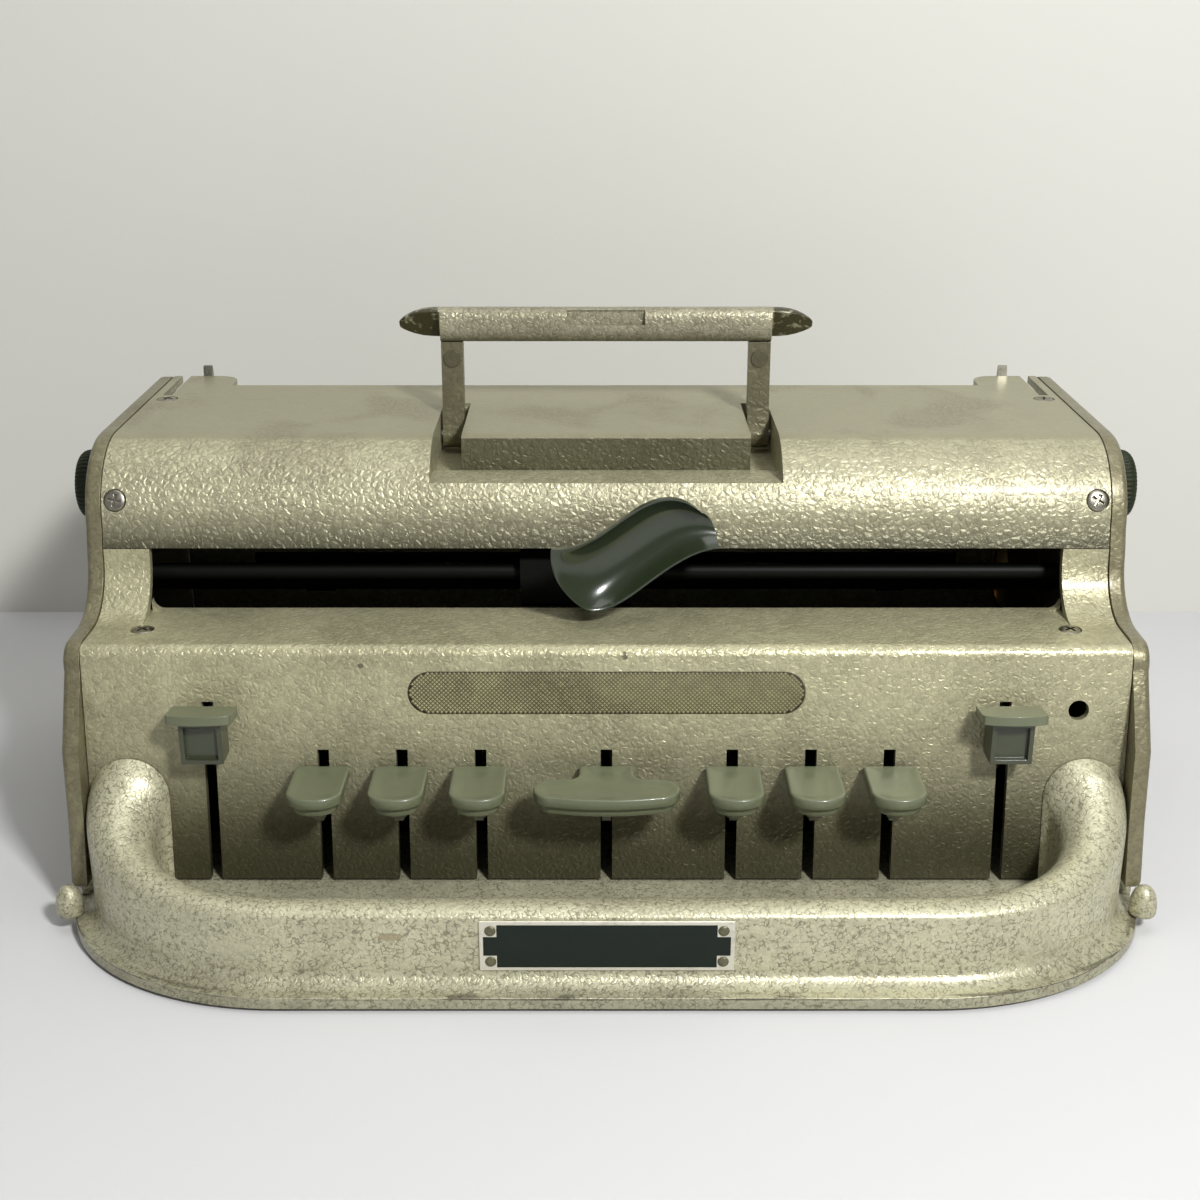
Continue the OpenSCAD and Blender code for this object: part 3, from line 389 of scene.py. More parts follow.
@dataclass(frozen=True)
class HammerEnamel:
    """Metallic hammered enamel, the case's main finish; heights and places are in millimetres.

    Attributes:
        name: The material's name.
        base: Colour of the flakes.
        vein: Colour between the cells.
        cell: Width of a cell.
        veins: How dark the veins are drawn.
        mottle: How far cells differ in tone.
        rough: Roughness of the coat.
        metal: Share of metallic flakes.
        relief: Depth of the pebbling.
        dirt: Amount of smudges.
        low_shade: How much the finish darkens towards its foot.
        foot: Height where that shade is full.
        head: Height where it ends.
        calm_z: Height above which the pattern calms down.
        calm_base: Colour of the flakes up there.
        rust_x: Distance from the middle past which the ends are painted brown: rust on the end plates,
            painted shade on the grip's downward facets.
        rust: How strong that brown is.
        rust_colour: Its colour, brown rust on the end plates and dark olive painted shade on the grip.
        niche: Half width, least y, largest y and top of an upright face in shade.
        rim_z: Height of a rim that is scratched lengthwise.
        chips: Middle x and z, half width and half height of each chip in the paint.
        chip_y: Chips lie ahead of this y.
        chip_colour: Colour of the chips.
        coat: Gloss over the enamel.
    """

    name: str
    base: Rgba
    vein: Rgba = VEIN
    cell: float = 2.9
    veins: float = 0.6
    mottle: float = 0.35
    rough: float = 0.42
    metal: float = 0.45
    relief: float = 0.10
    dirt: float = 0.35
    low_shade: float = 0.0
    foot: float = 0.0
    head: float = 1.0
    calm_z: float = FAR
    calm_base: Rgba = (0.4, 0.4, 0.3, 1.0)
    rust_x: float = FAR
    rust: float = 0.55
    rust_colour: Rgba = srgb(96, 86, 62)
    niche: Quad | None = None
    rim_z: float = -FAR
    chips: tuple[Quad, ...] = ()
    chip_y: float = -90.0
    chip_colour: Rgba = srgb(150, 138, 106)
    coat: float = 0.25

    def shaded_and_aged(self, w: Wiring, place: Socket, x: Socket, y: Socket, z: Socket, colour: Socket) -> Socket:
        """Lays painted shade, wear and chips over the enamel.

        Args:
            w: The material's wiring.
            place: The position.
            x: Its x.
            y: Its y.
            z: Its z.
            colour: The enamel's colour.

        Returns:
            The aged colour.
        """
        if self.low_shade > 0:
            colour = w.mix(w.mul(w.step(z, self.head, self.foot), self.low_shade), colour, SHADE)
        aside = w.math("ABSOLUTE", x)
        # Past this distance the ends go darker: real rust on the end plates, painted shade on the grip's
        # downward facets.
        if self.rust_x < FAR:
            outer = w.step(aside, self.rust_x, self.rust_x + 1.4)
            patch = w.step(w.noise(place, 0.3, 4.0, 0.4), 0.3, 0.7)
            colour = w.mix(w.mul(outer, patch, self.rust, clamp=True), colour, self.rust_colour)
        if self.niche:
            wide, near, far, top = self.niche
            deep = w.mul(w.step(y, near - 0.3, near), w.step(y, far + 0.3, far))
            inside = w.mul(w.step(aside, wide + 0.5, wide), deep, w.mul(w.step(z, top, top - 0.6), 0.8))
            colour = w.mix(inside, colour, NICHE_SHADE)
        if self.rim_z > -FAR:
            band = w.step(w.math("ABSOLUTE", w.minus(z, self.rim_z)), 0.8, 0.1)
            stretch = w.add("ShaderNodeMapping", {"Vector": place, "Scale": (0.03, 0.05, 1.9)})
            worn = w.step(w.noise(stretch, 1.0, 4.0, 0.5), 0.53, 0.60)
            colour = w.mix(w.mul(band, worn, 0.8), colour, RIM_WEAR)
        for middle_x, middle_z, wide, high in self.chips:
            across = w.math("DIVIDE", w.minus(x, middle_x), wide)
            upright = w.math("DIVIDE", w.minus(z, middle_z), high)
            away = w.plus(w.mul(across, across), w.mul(upright, upright))
            ragged = w.plus(away, w.mul(w.noise(place, 0.9), 1.8))
            chip = w.mul(w.step(ragged, 1.75, 1.5), w.step(y, self.chip_y, self.chip_y - 2), 0.7)
            colour = w.mix(chip, colour, self.chip_colour)
        return colour

    def build(self, finishes: Finishes) -> Material:
        """Makes the material from the shared groups.

        Args:
            finishes: The shared groups.

        Returns:
            The material.
        """
        material, w, bsdf, place = finishes.start(self.name)
        x, y, z = w.add("ShaderNodeSeparateXYZ", {0: place}).outputs
        calm = w.step(z, self.calm_z - 0.9, self.calm_z)
        keep = w.minus(1.0, w.mul(calm, 0.8))
        enamel = finishes.use(w, finishes.hammer, Place=place, Base=w.mix(calm, self.base, self.calm_base),
                              Vein=self.vein, Cell=self.cell, Veins=w.mul(keep, self.veins),
                              Mottle=w.mul(keep, self.mottle))
        smudge = finishes.use(w, finishes.smudge, Place=place, Base=enamel.outputs["Colour"],
                              Dirt=DIRT, Amount=self.dirt, Size=38.0)
        marks = finishes.use(w, finishes.scratch, Place=place, Density=0.5)
        colour = w.mix(marks.outputs["Mask"], smudge.outputs["Colour"], SCRATCH)
        w.fill(bsdf, Base_Color=self.shaded_and_aged(w, place, x, y, z, colour), Metallic=self.metal,
               Roughness=w.plus(self.rough, w.mul(smudge.outputs["Mask"], 0.2)), Coat_Weight=self.coat,
               Coat_Roughness=0.22)
        bump(w, bsdf, w.mul(enamel.outputs["Height"], keep), 1.0, self.relief)
        return material


@dataclass(frozen=True)
class MouldedPlastic:
    """Moulded plastic with a faint orange peel and rubbed spots.

    Attributes:
        name: The material's name.
        base: Colour of the plastic.
        rubbed: Colour where fingers have rubbed it.
        rough: Roughness.
        coat: Gloss over it.
        dirt: Amount of smudges.
        specular: Strength of its plain reflection.
        dark_z: Height below which it is in shade, in millimetres.
    """

    name: str
    base: Rgba
    rubbed: Rgba
    rough: float = 0.4
    coat: float = 0.2
    dirt: float = 0.3
    specular: float = 0.5
    dark_z: float = -FAR

    def build(self, finishes: Finishes) -> Material:
        """Makes the material from the shared groups.

        Args:
            finishes: The shared groups.

        Returns:
            The material.
        """
        material, w, bsdf, place = finishes.start(self.name)
        colour = finishes.use(w, finishes.smudge, Place=place, Base=self.base, Dirt=self.rubbed,
                              Amount=self.dirt, Size=9.0).outputs["Colour"]
        # Below dark_z the plastic takes painted shade.
        if self.dark_z > -FAR:
            height = w.add("ShaderNodeSeparateXYZ", {0: place}).outputs["Z"]
            low = w.mul(w.step(height, self.dark_z + 0.4, self.dark_z - 0.4), 0.75)
            colour = w.mix(low, colour, KEY_SHADE)
        grain = w.noise(place, 2.4)
        w.fill(bsdf, Base_Color=colour, Roughness=w.plus(self.rough - 0.05, w.mul(grain, 0.1)),
               Coat_Weight=self.coat, Coat_Roughness=0.12, Specular_IOR_Level=self.specular)
        bump(w, bsdf, grain, 0.35, 0.03)
        return material


@dataclass(frozen=True)
class PlainMetal:
    """Bare or plated metal with fine turning or drawing marks.

    Attributes:
        name: The material's name.
        base: Colour of the metal.
        tarnish: Colour of its dull patches.
        rough: Roughness.
        dirt: Amount of tarnish.
        metal: Share of bare metal.
        specular: Strength of its plain reflection.
    """

    name: str
    base: Rgba
    tarnish: Rgba
    rough: float = 0.35
    dirt: float = 0.4
    metal: float = 1.0
    specular: float = 0.5

    def build(self, finishes: Finishes) -> Material:
        """Makes the material from the shared groups.

        Args:
            finishes: The shared groups.

        Returns:
            The material.
        """
        material, w, bsdf, place = finishes.start(self.name)
        smudge = finishes.use(w, finishes.smudge, Place=place, Base=self.base, Dirt=self.tarnish,
                              Amount=self.dirt, Size=6.0)
        grain = w.noise(place, 3.0, 4.0)
        w.fill(bsdf, Base_Color=smudge.outputs["Colour"], Metallic=self.metal,
               Roughness=w.plus(self.rough - 0.08, w.mul(grain, 0.16)), Specular_IOR_Level=self.specular)
        bump(w, bsdf, grain, 0.3, 0.02)
        return material


class Paintbox:
    """Every finish of the object, built once."""

    def __init__(self) -> None:
        """Builds the shared groups and the materials."""
        f = self.finishes = Finishes()

        def enamel(name: str, *base: float, **more: Any) -> Material:
            """Builds an enamel from its name and screen colour."""
            return HammerEnamel(name, srgb(*base), **more).build(f)

        def plastic(name: str, base: Point, rubbed: Point, **more: Any) -> Material:
            """Builds a plastic from its name and two screen colours."""
            return MouldedPlastic(name, srgb(*base), srgb(*rubbed), **more).build(f)

        def metal(name: str, base: Point, tarnish: Point, **more: Any) -> Material:
            """Builds a metal from its name and two screen colours."""
            return PlainMetal(name, srgb(*base), srgb(*tarnish), **more).build(f)

        self.guard = enamel("guard_enamel", 188, 185, 157, cell=1.7, veins=0.62, mottle=0.32, relief=0.07,
                            low_shade=0.3, foot=3.0, head=12.0, rim_z=5.2, chips=((-68.3, 22.9, 5.0, 1.7),))
        self.panel = enamel("panel_enamel", 172, 168, 136, cell=2.2, veins=0.12, mottle=0.42, relief=0.16,
                            low_shade=0.95, foot=12.0, head=86.0, chip_y=-40.0, chip_colour=srgb(66, 62, 48),
                            chips=((-83.3, 88.5, 1.2, 1.0), (6.2, 91.9, 1.3, 1.7)))
        self.cover = enamel("cover_enamel", 168, 164, 136, cell=2.6, veins=0.3, mottle=0.4, relief=0.22,
                            low_shade=0.96, foot=113.0, head=134.0, calm_z=151.6, coat=0.1,
                            calm_base=srgb(150, 146, 120), niche=(56.5, 17.4, 18.5, 151.5))
        self.side = enamel("side_enamel", 122, 117, 90, veins=0.3, mottle=0.4, dirt=0.4, rust_x=182.6)
        # The grip gets painted shade on its lower part and, through the rust fields, on its downward end
        # facets.
        self.grip = enamel("grip_enamel", 152, 148, 124, cell=1.9, veins=0.5, mottle=0.45, relief=0.12,
                           low_shade=0.5, foot=179.0, head=187.0, rust_x=62.0, rust=4.0,
                           rust_colour=srgb(60, 57, 32))
        self.knurl = enamel("knurl_enamel", 152, 148, 114, veins=0.0, mottle=0.3, relief=0.02, dirt=0.5)
        self.leg = enamel("leg_enamel", 100, 96, 72, veins=0.3, mottle=0.4, dirt=0.6)
        self.rivet = enamel("rivet_enamel", 84, 80, 58, veins=0.3, mottle=0.4, dirt=0.6)
        # Colour of the floor between the knurl's diamonds, darker than the diamonds.
        self.groove = plastic("groove_paint", (52, 46, 30), (70, 62, 42), rough=0.7, coat=0.0)
        green, rubbed = (90, 95, 72), (104, 108, 82)
        self.key = plastic("key_plastic_finish", green, rubbed, rough=0.36, coat=0.3, dirt=0.35)
        # The raised keys' blocks under the cap plate get painted shade, where the plate would shadow them.
        self.shaded_raised_key = plastic("raised_key_finish", green, rubbed, rough=0.36, coat=0.3, dirt=0.35,
                                  dark_z=74.3)
        self.dish = plastic("lever_plastic_finish", (34, 42, 26), (44, 52, 34), rough=0.24, coat=0.35,
                            dirt=0.2)
        self.knob = plastic("knob_plastic_finish", (30, 36, 18), (46, 52, 30), rough=0.5, coat=0.0,
                            specular=0.2)
        self.zinc = metal("zinc_finish", (150, 147, 134), (70, 64, 50), dirt=0.6)
        self.border = metal("plate_border_finish", (212, 209, 194), (150, 144, 122), rough=0.4, metal=0.6)
        self.steel = metal("steel_finish", (140, 140, 136), (70, 62, 50))
        # Near-black steel for the parts inside the case and the sheet behind the rack: painted shade of the
        # dark interior.
        self.inner_shade = metal("oiled_steel_finish", (14, 16, 13), (10, 10, 8), rough=0.5, metal=0.2,
                           specular=0.12)
        self.brass = metal("brass_finish", (176, 146, 84), (110, 86, 46))
        self.black = metal("black_enamel_finish", (10, 10, 8), (16, 15, 12), rough=0.6, metal=0.0,
                           specular=0.12)
        self.rubber = plastic("rubber_finish", (22, 22, 20), (32, 31, 28), rough=0.8, coat=0.0)
        self.plate = plastic("plate_enamel_finish", (22, 30, 24), (30, 37, 30), rough=0.5, coat=0.0,
                             specular=0.2)

    def for_slot(self, slot: Slot) -> Material:
        """Returns the finish that a CAD node of a slot takes by itself."""
        return {
            Slot.PAINT: self.panel, Slot.HANDLE_METAL: self.leg, Slot.KEY: self.key, Slot.LEVER: self.dish,
            Slot.KNOB: self.knob, Slot.PLATE: self.plate, Slot.ZINC: self.zinc, Slot.STEEL: self.steel,
            Slot.DARK: self.black, Slot.BRASS: self.brass, Slot.RUBBER: self.rubber,
            Slot.ROLLER: self.rubber,
        }[slot]


# ---------------------------------------------------------------- meshes


def add_object(name: str, data: bpy.types.ID) -> Obj:
    """Puts a new object in the scene.

    Args:
        name: The object's name.
        data: Its mesh, light or camera.

    Returns:
        The object.
    """
    obj = bpy.data.objects.new(name, data)
    bpy.context.scene.collection.objects.link(obj)
    return obj


class Workshop:
    """Makes meshes, with lengths in millimetres, and hands them to the frame."""

    def __init__(self, frame: dict[str, Any]) -> None:
        """Keeps the loaded frame."""
        self.frame = frame

    @staticmethod
    def mesh(name: str, points: Sequence[Point], faces: Sequence[Sequence[int]]) -> Obj:
        """Makes an object from points.

        Args:
            name: The object's name.
            points: Its vertices.
            faces: Vertex numbers of each face.

        Returns:
            The object.
        """
        data = bpy.data.meshes.new(name)
        data.from_pydata([(x * MM, y * MM, z * MM) for x, y, z in points], [], [list(f) for f in faces])
        data.validate()
        return add_object(name, data)

    @staticmethod
    def tidy(obj: Obj, merge: float = 0.004, flat: float = 0.0) -> None:
        """Merges doubles, turns normals outwards and shades smooth.

        Args:
            obj: The object.
            merge: Merging distance.
            flat: Angle in degrees under which faces are joined; 0 joins none.
        """
        bm = bmesh.new()
        bm.from_mesh(obj.data)
        bmesh.ops.remove_doubles(bm, verts=bm.verts, dist=merge * MM)
        if flat:
            bmesh.ops.dissolve_limit(bm, angle_limit=math.radians(flat), verts=bm.verts, edges=bm.edges)
        bmesh.ops.recalc_face_normals(bm, faces=bm.faces)
        for face in bm.faces:
            face.smooth = True
        bm.to_mesh(obj.data)
        bm.free()

    def loft(self, name: str, rings: Sequence[Ring]) -> Obj:
        """Skins closed rings that have the same number of points, and closes both ends.

        Args:
            name: The object's name.
            rings: The rings, in order.

        Returns:
            The object.
        """
        count, last = len(rings[0]), len(rings) - 1
        faces = []
        for k in range(last):
            for i in range(count):
                j = (i + 1) % count
                faces.append([k * count + i, k * count + j, (k + 1) * count + j, (k + 1) * count + i])
        faces += [list(range(count))[::-1], [last * count + i for i in range(count)]]
        obj = self.mesh(name, [p for ring in rings for p in ring], faces)
        self.tidy(obj)
        return obj

    def revolve(self, name: str, outline: Sequence[Flat], place: Matrix, steps: int) -> Obj:
        """Turns an outline of radius and height round its own axis.

        Args:
            name: The object's name.
            outline: Radius and height pairs, from one end of the axis to the other.
            place: Where the axis goes.
            steps: Number of steps round it.

        Returns:
            The object.
        """
        points = [tuple(place @ Vector((r * math.cos(a), r * math.sin(a), h)))
                  for a in (math.tau * i / steps for i in range(steps)) for r, h in outline]
        n = len(outline)
        faces = [[k * n + i, ((k + 1) % steps) * n + i, ((k + 1) % steps) * n + i + 1, k * n + i + 1]
                 for k in range(steps) for i in range(n - 1)]
        obj = self.mesh(name, points, faces)
        self.tidy(obj, merge=0.002)
        return obj

    @staticmethod
    def merged(name: str, sources: Sequence[Obj]) -> Obj:
        """Copies meshes that all sit at the origin into one new object.

        Args:
            name: The new object's name.
            sources: The objects, which stay.

        Returns:
            The new object.
        """
        bm = bmesh.new()
        for source in sources:
            bm.from_mesh(source.data)
        data = bpy.data.meshes.new(name)
        bm.to_mesh(data)
        bm.free()
        return add_object(name, data)

    def cad_copy(self, node: str) -> Obj:
        """Copies a CAD node into a merged mesh whose flat faces are whole again.

        Args:
            node: The CAD node.

        Returns:
            The copy, at the origin.
        """
        obj = self.merged(node + "_fine", [self.frame["nodes"][node]])
        self.tidy(obj, merge=0.01, flat=0.6)
        return obj

    def join(self, name: str, parts: Sequence[Obj]) -> Obj:
        """Joins meshes into one object.

        Args:
            name: The joined object's name.
            parts: The objects, which are removed.

        Returns:
            The joined object.
        """
        obj = self.merged(name, parts)
        for part in parts:
            bpy.data.objects.remove(part)
        return obj

    def refill(self, obj: Obj, x: float) -> None:
        """Fills an object's flat face at x anew, because its own triangles fold over each other.

        Args:
            obj: The object.
            x: Place of the face.
        """
        def lies_there(verts: Any) -> bool:
            """Returns whether all of some vertices lie on the face."""
            return all(abs(v.co.x - x * MM) < 0.01 * MM for v in verts)

        bm = bmesh.new()
        bm.from_mesh(obj.data)
        bmesh.ops.delete(bm, geom=[f for f in bm.faces if lies_there(f.verts)], context="FACES")
        rim = [e for e in bm.edges if len(e.link_faces) == 1 and lies_there(e.verts)]
        bmesh.ops.delete(bm, geom=[e for e in bm.edges if not e.link_faces], context="EDGES")
        bmesh.ops.triangle_fill(bm, edges=rim, use_beauty=True, use_dissolve=False)
        bm.to_mesh(obj.data)
        bm.free()
        self.tidy(obj, merge=0.01, flat=0.6)

    @staticmethod
    def soften(obj: Obj, width: float, segments: int = 3, angle: float = 32.0) -> None:
        """Rounds an object's edges and evens its shading.

        Args:
            obj: The object.
            width: Width of the rounding.
            segments: Steps across it.
            angle: Edges sharper than this many degrees are rounded.
        """
        bevel = obj.modifiers.new("edge_rounding", "BEVEL")
        bevel.width = width * MM
        bevel.segments = segments
        bevel.limit_method = "ANGLE"
        bevel.angle_limit = math.radians(angle)
        bevel.miter_outer = "MITER_ARC"
        even = obj.modifiers.new("even_shading", "WEIGHTED_NORMAL")
        even.mode = "FACE_AREA"
        even.weight = 90

    @staticmethod
    def bake(obj: Obj) -> None:
        """Applies an object's modifiers.

        Args:
            obj: The object.
        """
        bpy.context.view_layer.update()
        graph = bpy.context.evaluated_depsgraph_get()
        data = bpy.data.meshes.new_from_object(obj.evaluated_get(graph))
        obj.modifiers.clear()
        obj.data = data

    def carve(self, obj: Obj, low: Point, high: Point) -> None:
        """Cuts a block out of an object.

        Args:
            obj: The object that is cut.
            low: The block's lowest corner.
            high: Its highest corner.
        """
        cutter = self.box("cutter", low, high)
        cut = obj.modifiers.new("cut", "BOOLEAN")
        cut.operation = "DIFFERENCE"
        cut.solver = "EXACT"
        cut.object = cutter
        self.bake(obj)
        bpy.data.objects.remove(cutter)

    def box(self, name: str, low: Point, high: Point) -> Obj:
        """Makes a block between two corners.

        Args:
            name: The object's name.
            low: Its lowest corner.
            high: Its highest corner.

        Returns:
            The block.
        """
        x, y, z = zip(low, high)
        points = [(x[i], y[j], z[k]) for i in (0, 1) for j in (0, 1) for k in (0, 1)]
        faces = [[0, 1, 3, 2], [4, 6, 7, 5], [0, 4, 5, 1], [2, 3, 7, 6], [0, 2, 6, 4], [1, 5, 7, 3]]
        return self.mesh(name, points, faces)

    @staticmethod
    def hand_over(obj: Obj, finish: Material, slot: Slot, *nodes: str, body: Body = Body.FRAME) -> None:
        """Gives a finished piece its material and its place on a body.

        Args:
            obj: The piece.
            finish: Its finish.
            slot: The record's slot that it stands for; not used.
            nodes: The CAD nodes that it replaces.
            body: The body that it rides on.
        """
        obj.data.materials.clear()
        obj.data.materials.append(finish)
        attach(obj, body.value)
        if nodes:
            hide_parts(*nodes)
        LOG.info("%s rides on %s", obj.name, body.value)

    def rounded(self, node: str, finish: Material, slot: Slot, width: float, segments: int = 3,
                angle: float = 32.0, body: Body = Body.FRAME) -> None:
        """Stands a copy of a CAD node with rounded edges in its place.

        Args:
            node: The CAD node.
            finish: The copy's finish.
            slot: The record's slot.
            width: Width of the rounding.
            segments: Steps across the rounding.
            angle: Edges sharper than this many degrees are rounded.
            body: The body that it rides on.
        """
        obj = self.cad_copy(node)
        self.soften(obj, width, segments, angle)
        self.hand_over(obj, finish, slot, node, body=body)


class Repeater:
    """Sets copies of a small piece on points, with Geometry Nodes."""

    SOCKETS = {"Geometry": "NodeSocketGeometry", "Piece": "NodeSocketObject", "Finish": "NodeSocketMaterial",
               "Spin": FLOAT, "Seed": "NodeSocketInt"}

    def __init__(self) -> None:
        """Builds the tree once."""
        tree = self.tree = bpy.data.node_groups.new("repeat_on_points", "GeometryNodeTree")
        for label, kind in self.SOCKETS.items():
            tree.interface.new_socket(label, in_out="INPUT", socket_type=kind)
        tree.interface.new_socket("Geometry", in_out="OUTPUT", socket_type=self.SOCKETS["Geometry"])
        w = Wiring(tree)
        source, out = w.add("NodeGroupInput"), w.add("NodeGroupOutput")
        given = {s.name: s for s in source.outputs if s.name}
        piece = w.add("GeometryNodeObjectInfo", {"Object": given["Piece"]})
        aim, along = (w.add("GeometryNodeInputNamedAttribute", {"Name": name}, data_type="FLOAT_VECTOR")
                      for name in ("aim", "along"))
        upright = w.add("FunctionNodeAlignRotationToVector", {"Vector": aim}, axis="Z")
        turned = w.add("FunctionNodeAlignRotationToVector", {"Rotation": upright, "Vector": along},
                       axis="X", pivot_axis="Z")
        spin = w.add("FunctionNodeRandomValue", {2: 0.0, 3: given["Spin"], "Seed": given["Seed"]},
                     data_type="FLOAT")
        spun = w.add("FunctionNodeEulerToRotation",
                     {0: w.add("ShaderNodeCombineXYZ", {"Z": spin.outputs[1]})})
        rotation = w.add("FunctionNodeRotateRotation", {"Rotation": turned, "Rotate By": spun},
                         rotation_space="LOCAL")
        placed = w.add("GeometryNodeInstanceOnPoints", {
            "Points": given["Geometry"], "Instance": piece.outputs["Geometry"], "Rotation": rotation})
        real = w.add("GeometryNodeRealizeInstances", {"Geometry": placed})
        painted = w.add("GeometryNodeSetMaterial", {"Geometry": real, "Material": given["Finish"]})
        w.feed(out.inputs[0], painted)

    def spread(self, name: str, piece: Obj, spots: Sequence[Spot], finish: Material,
               spin: float = 0.0, seed: int = 7) -> Obj:
        """Sets a copy of a piece on each spot.

        Args:
            name: The result's name.
            piece: The piece, upright at the origin; it is removed.
            spots: Place in millimetres, direction of the piece's +Z, direction of its +X.
            finish: The copies' material.
            spin: Largest random turn about +Z, in radians.
            seed: Seed of that turn.

        Returns:
            One plain mesh with every copy.
        """
        obj = Workshop.mesh(name, [s[0] for s in spots], [])
        for label, index in (("aim", 1), ("along", 2)):
            layer = obj.data.attributes.new(label, "FLOAT_VECTOR", "POINT")
            for row, spot in zip(layer.data, spots):
                row.vector = spot[index]
        mod = obj.modifiers.new("repeat", "NODES")
        mod.node_group = self.tree
        values = {"Piece": piece, "Finish": finish, "Spin": spin, "Seed": seed}
        for item in self.tree.interface.items_tree:
            if item.in_out == "INPUT" and item.name in values:
                mod[item.identifier] = values[item.name]
        Workshop.bake(obj)
        bpy.data.objects.remove(piece)
        return obj


# ---------------------------------------------------------------- the case


def arc(centre: Flat, radius: float, start: float, stop: float, steps: int) -> list[Flat]:
    """Returns the points of an arc in so many steps, with both of its ends; angles are in degrees."""
    angles = (math.radians(start + (stop - start) * i / steps) for i in range(steps + 1))
    return [(centre[0] + radius * math.cos(a), centre[1] + radius * math.sin(a)) for a in angles]


@dataclass
class Part:
    """A sub-assembly, with the tools and the finishes that it is made with."""

    shop: Workshop
    paint: Paintbox


@dataclass
class Case(Part):
    """The castings: base with its guard, end plates, front panel and top cover."""

    half_w: float = 184.5
    front_y: float = 117.0
    rear_y: float = 113.5
    plate_t: float = 6.0
    seam: float = 0.3
    rim_lift: float = 1.5
    rim_h: float = 5.5
    flare_h: float = 10.5
    skirt_h: float = 14.0
    floor_h: float = 11.0
    floor_t: float = 3.0
    corner: Flat = (80.5, 65.0)
    guard_h: float = 32.0
    guard_w: float = 12.0
    arch_h: float = 56.0
    arch_w: float = 27.5
    guard_set: float = 8.0
    foot_y: float = 54.0
    brow_y: float = 44.0
    ledge_h: float = 95.0
    bracket: tuple[Flat, ...] = ((0, 0), (3.4, 0), (4.2, 0.4), (4.6, 1.3), (4.6, 4.6), (4.4, 6.0), (4.0, 7.6),
                                 (3.4, 9.0), (2.5, 10.2), (1.3, 10.9), (0, 11.1))
    boss: tuple[Flat, ...] = ((0, 0), (10.6, 0), (11, 0.4), (11, 3.5), (0, 3.5))
    bracket_at: tuple[float, float, float] = (13.0, 16.0, 4.2)
    rib_x: tuple[float, ...] = (-90.0, 0.0, 90.0)
    rib_t: float = 3.0
    wall_t: float = 5.0
    feet: tuple[Flat, Flat] = ((40.0, 38.0), (20.0, 20.0))
    # A dark sheet behind the rack: painted shade seen through its tooth gaps.
    shade_sheet: tuple[Point, Point] = ((-136, 46.0, 92), (136, 46.6, 98))

    def panel_y(self, z: float) -> float:
        """Returns where the leaning panel's face is at a height."""
        low = self.floor_h + 1
        return -self.foot_y + (z - low) * (self.foot_y - self.brow_y) / (self.ledge_h - low)

    def guard_section(self, s: float) -> list[Flat]:
        """Returns the guard's section: distance in from the rim, and height.

        Args:
            s: 0 at the panel, 1 across the front.

        Returns:
            The section's outline.
        """
        near = (1 - s) ** 2
        inset = self.guard_set - (self.guard_set - self.plate_t - self.seam - 0.1) * near
        half = (self.guard_w + (self.arch_w - self.guard_w) * near) / 2
        crown = 3 + (self.arch_w / 2 - 3) * (1 - s) ** 1.6
        h = self.guard_h + (self.arch_h - self.guard_h) * (1 - s) ** 3.2
        under = self.floor_h - self.floor_t - 0.8
        section = [(0.0, self.rim_lift), (inset + 2, self.rim_lift), (inset + 2, under),
                   (inset + 2 * half, under)]
        for a in (math.pi * i / 24 for i in range(25)):
            section.append((inset + half + half * math.cos(a), h - crown + crown * math.sin(a)))
        for a in (math.pi / 2 * i / 10 for i in range(11)):
            section.append((0.5 + (inset - 0.5) * math.cos(a),
                            self.flare_h - (self.flare_h - self.rim_h) * math.sin(a)))
        return section + [(0.15, self.rim_h - 0.15), (0.0, self.rim_h - 0.7)]

    def guard_ring(self, angle: float, side: int) -> Ring:
        """Returns one ring of the guard at an angle round the corner.

        Args:
            angle: 0 at the panel, 90 where the corner meets the front.
            side: 1 on the right, -1 on the left.

        Returns:
            The ring.
        """
        a = math.radians(angle)
        width, depth = self.corner
        rim = Vector((self.half_w - width + width * math.cos(a), depth - self.front_y - depth * math.sin(a)))
        unit = Vector((math.cos(a) / width, -math.sin(a) / depth)).normalized()
        ring: Ring = []
        for inward, z in self.guard_section(angle / 90):
            p = rim - unit * inward
            ring.append((side * p.x, min(p.y, self.panel_y(z) - self.seam), z))
        return ring

    def guard_end(self, side: int) -> Ring:
        """Returns the guard's end, which leans with the panel."""
        return [(side * (self.half_w - inward), self.panel_y(z) - self.seam, z)
                for inward, z in self.guard_section(0)]

    def guard(self) -> Obj:
        """Skins the guard, from one end round the front to the other.

        Returns:
            The guard.
        """
        angles = [3 + 87 * i / 40 for i in range(41)]
        left = [self.guard_ring(a, -1) for a in angles]
        right = [self.guard_ring(a, 1) for a in reversed(angles)]
        return self.shop.loft("guard_part", [self.guard_end(-1), *left, *right, self.guard_end(1)])

    def tray(self) -> Obj:
        """Builds the tray's floor, whose front corners follow the guard's.

        Returns:
            The floor.
        """
        width, depth = self.corner
        edge = [(self.half_w - 2, self.rear_y - 2), (self.half_w - 2, 4 - self.foot_y)]
        for a in (math.radians(90 * i / 12) for i in range(13)):
            edge.append((self.half_w - width + (width - 12) * math.cos(a),
                         depth - self.front_y - (depth - 12) * math.sin(a)))
        outline = edge + [(-x, y) for x, y in reversed(edge)]
        heights = (self.floor_h - self.floor_t, self.floor_h)
        return self.shop.loft("tray_part", [[(x, y, z) for x, y in outline] for z in heights])

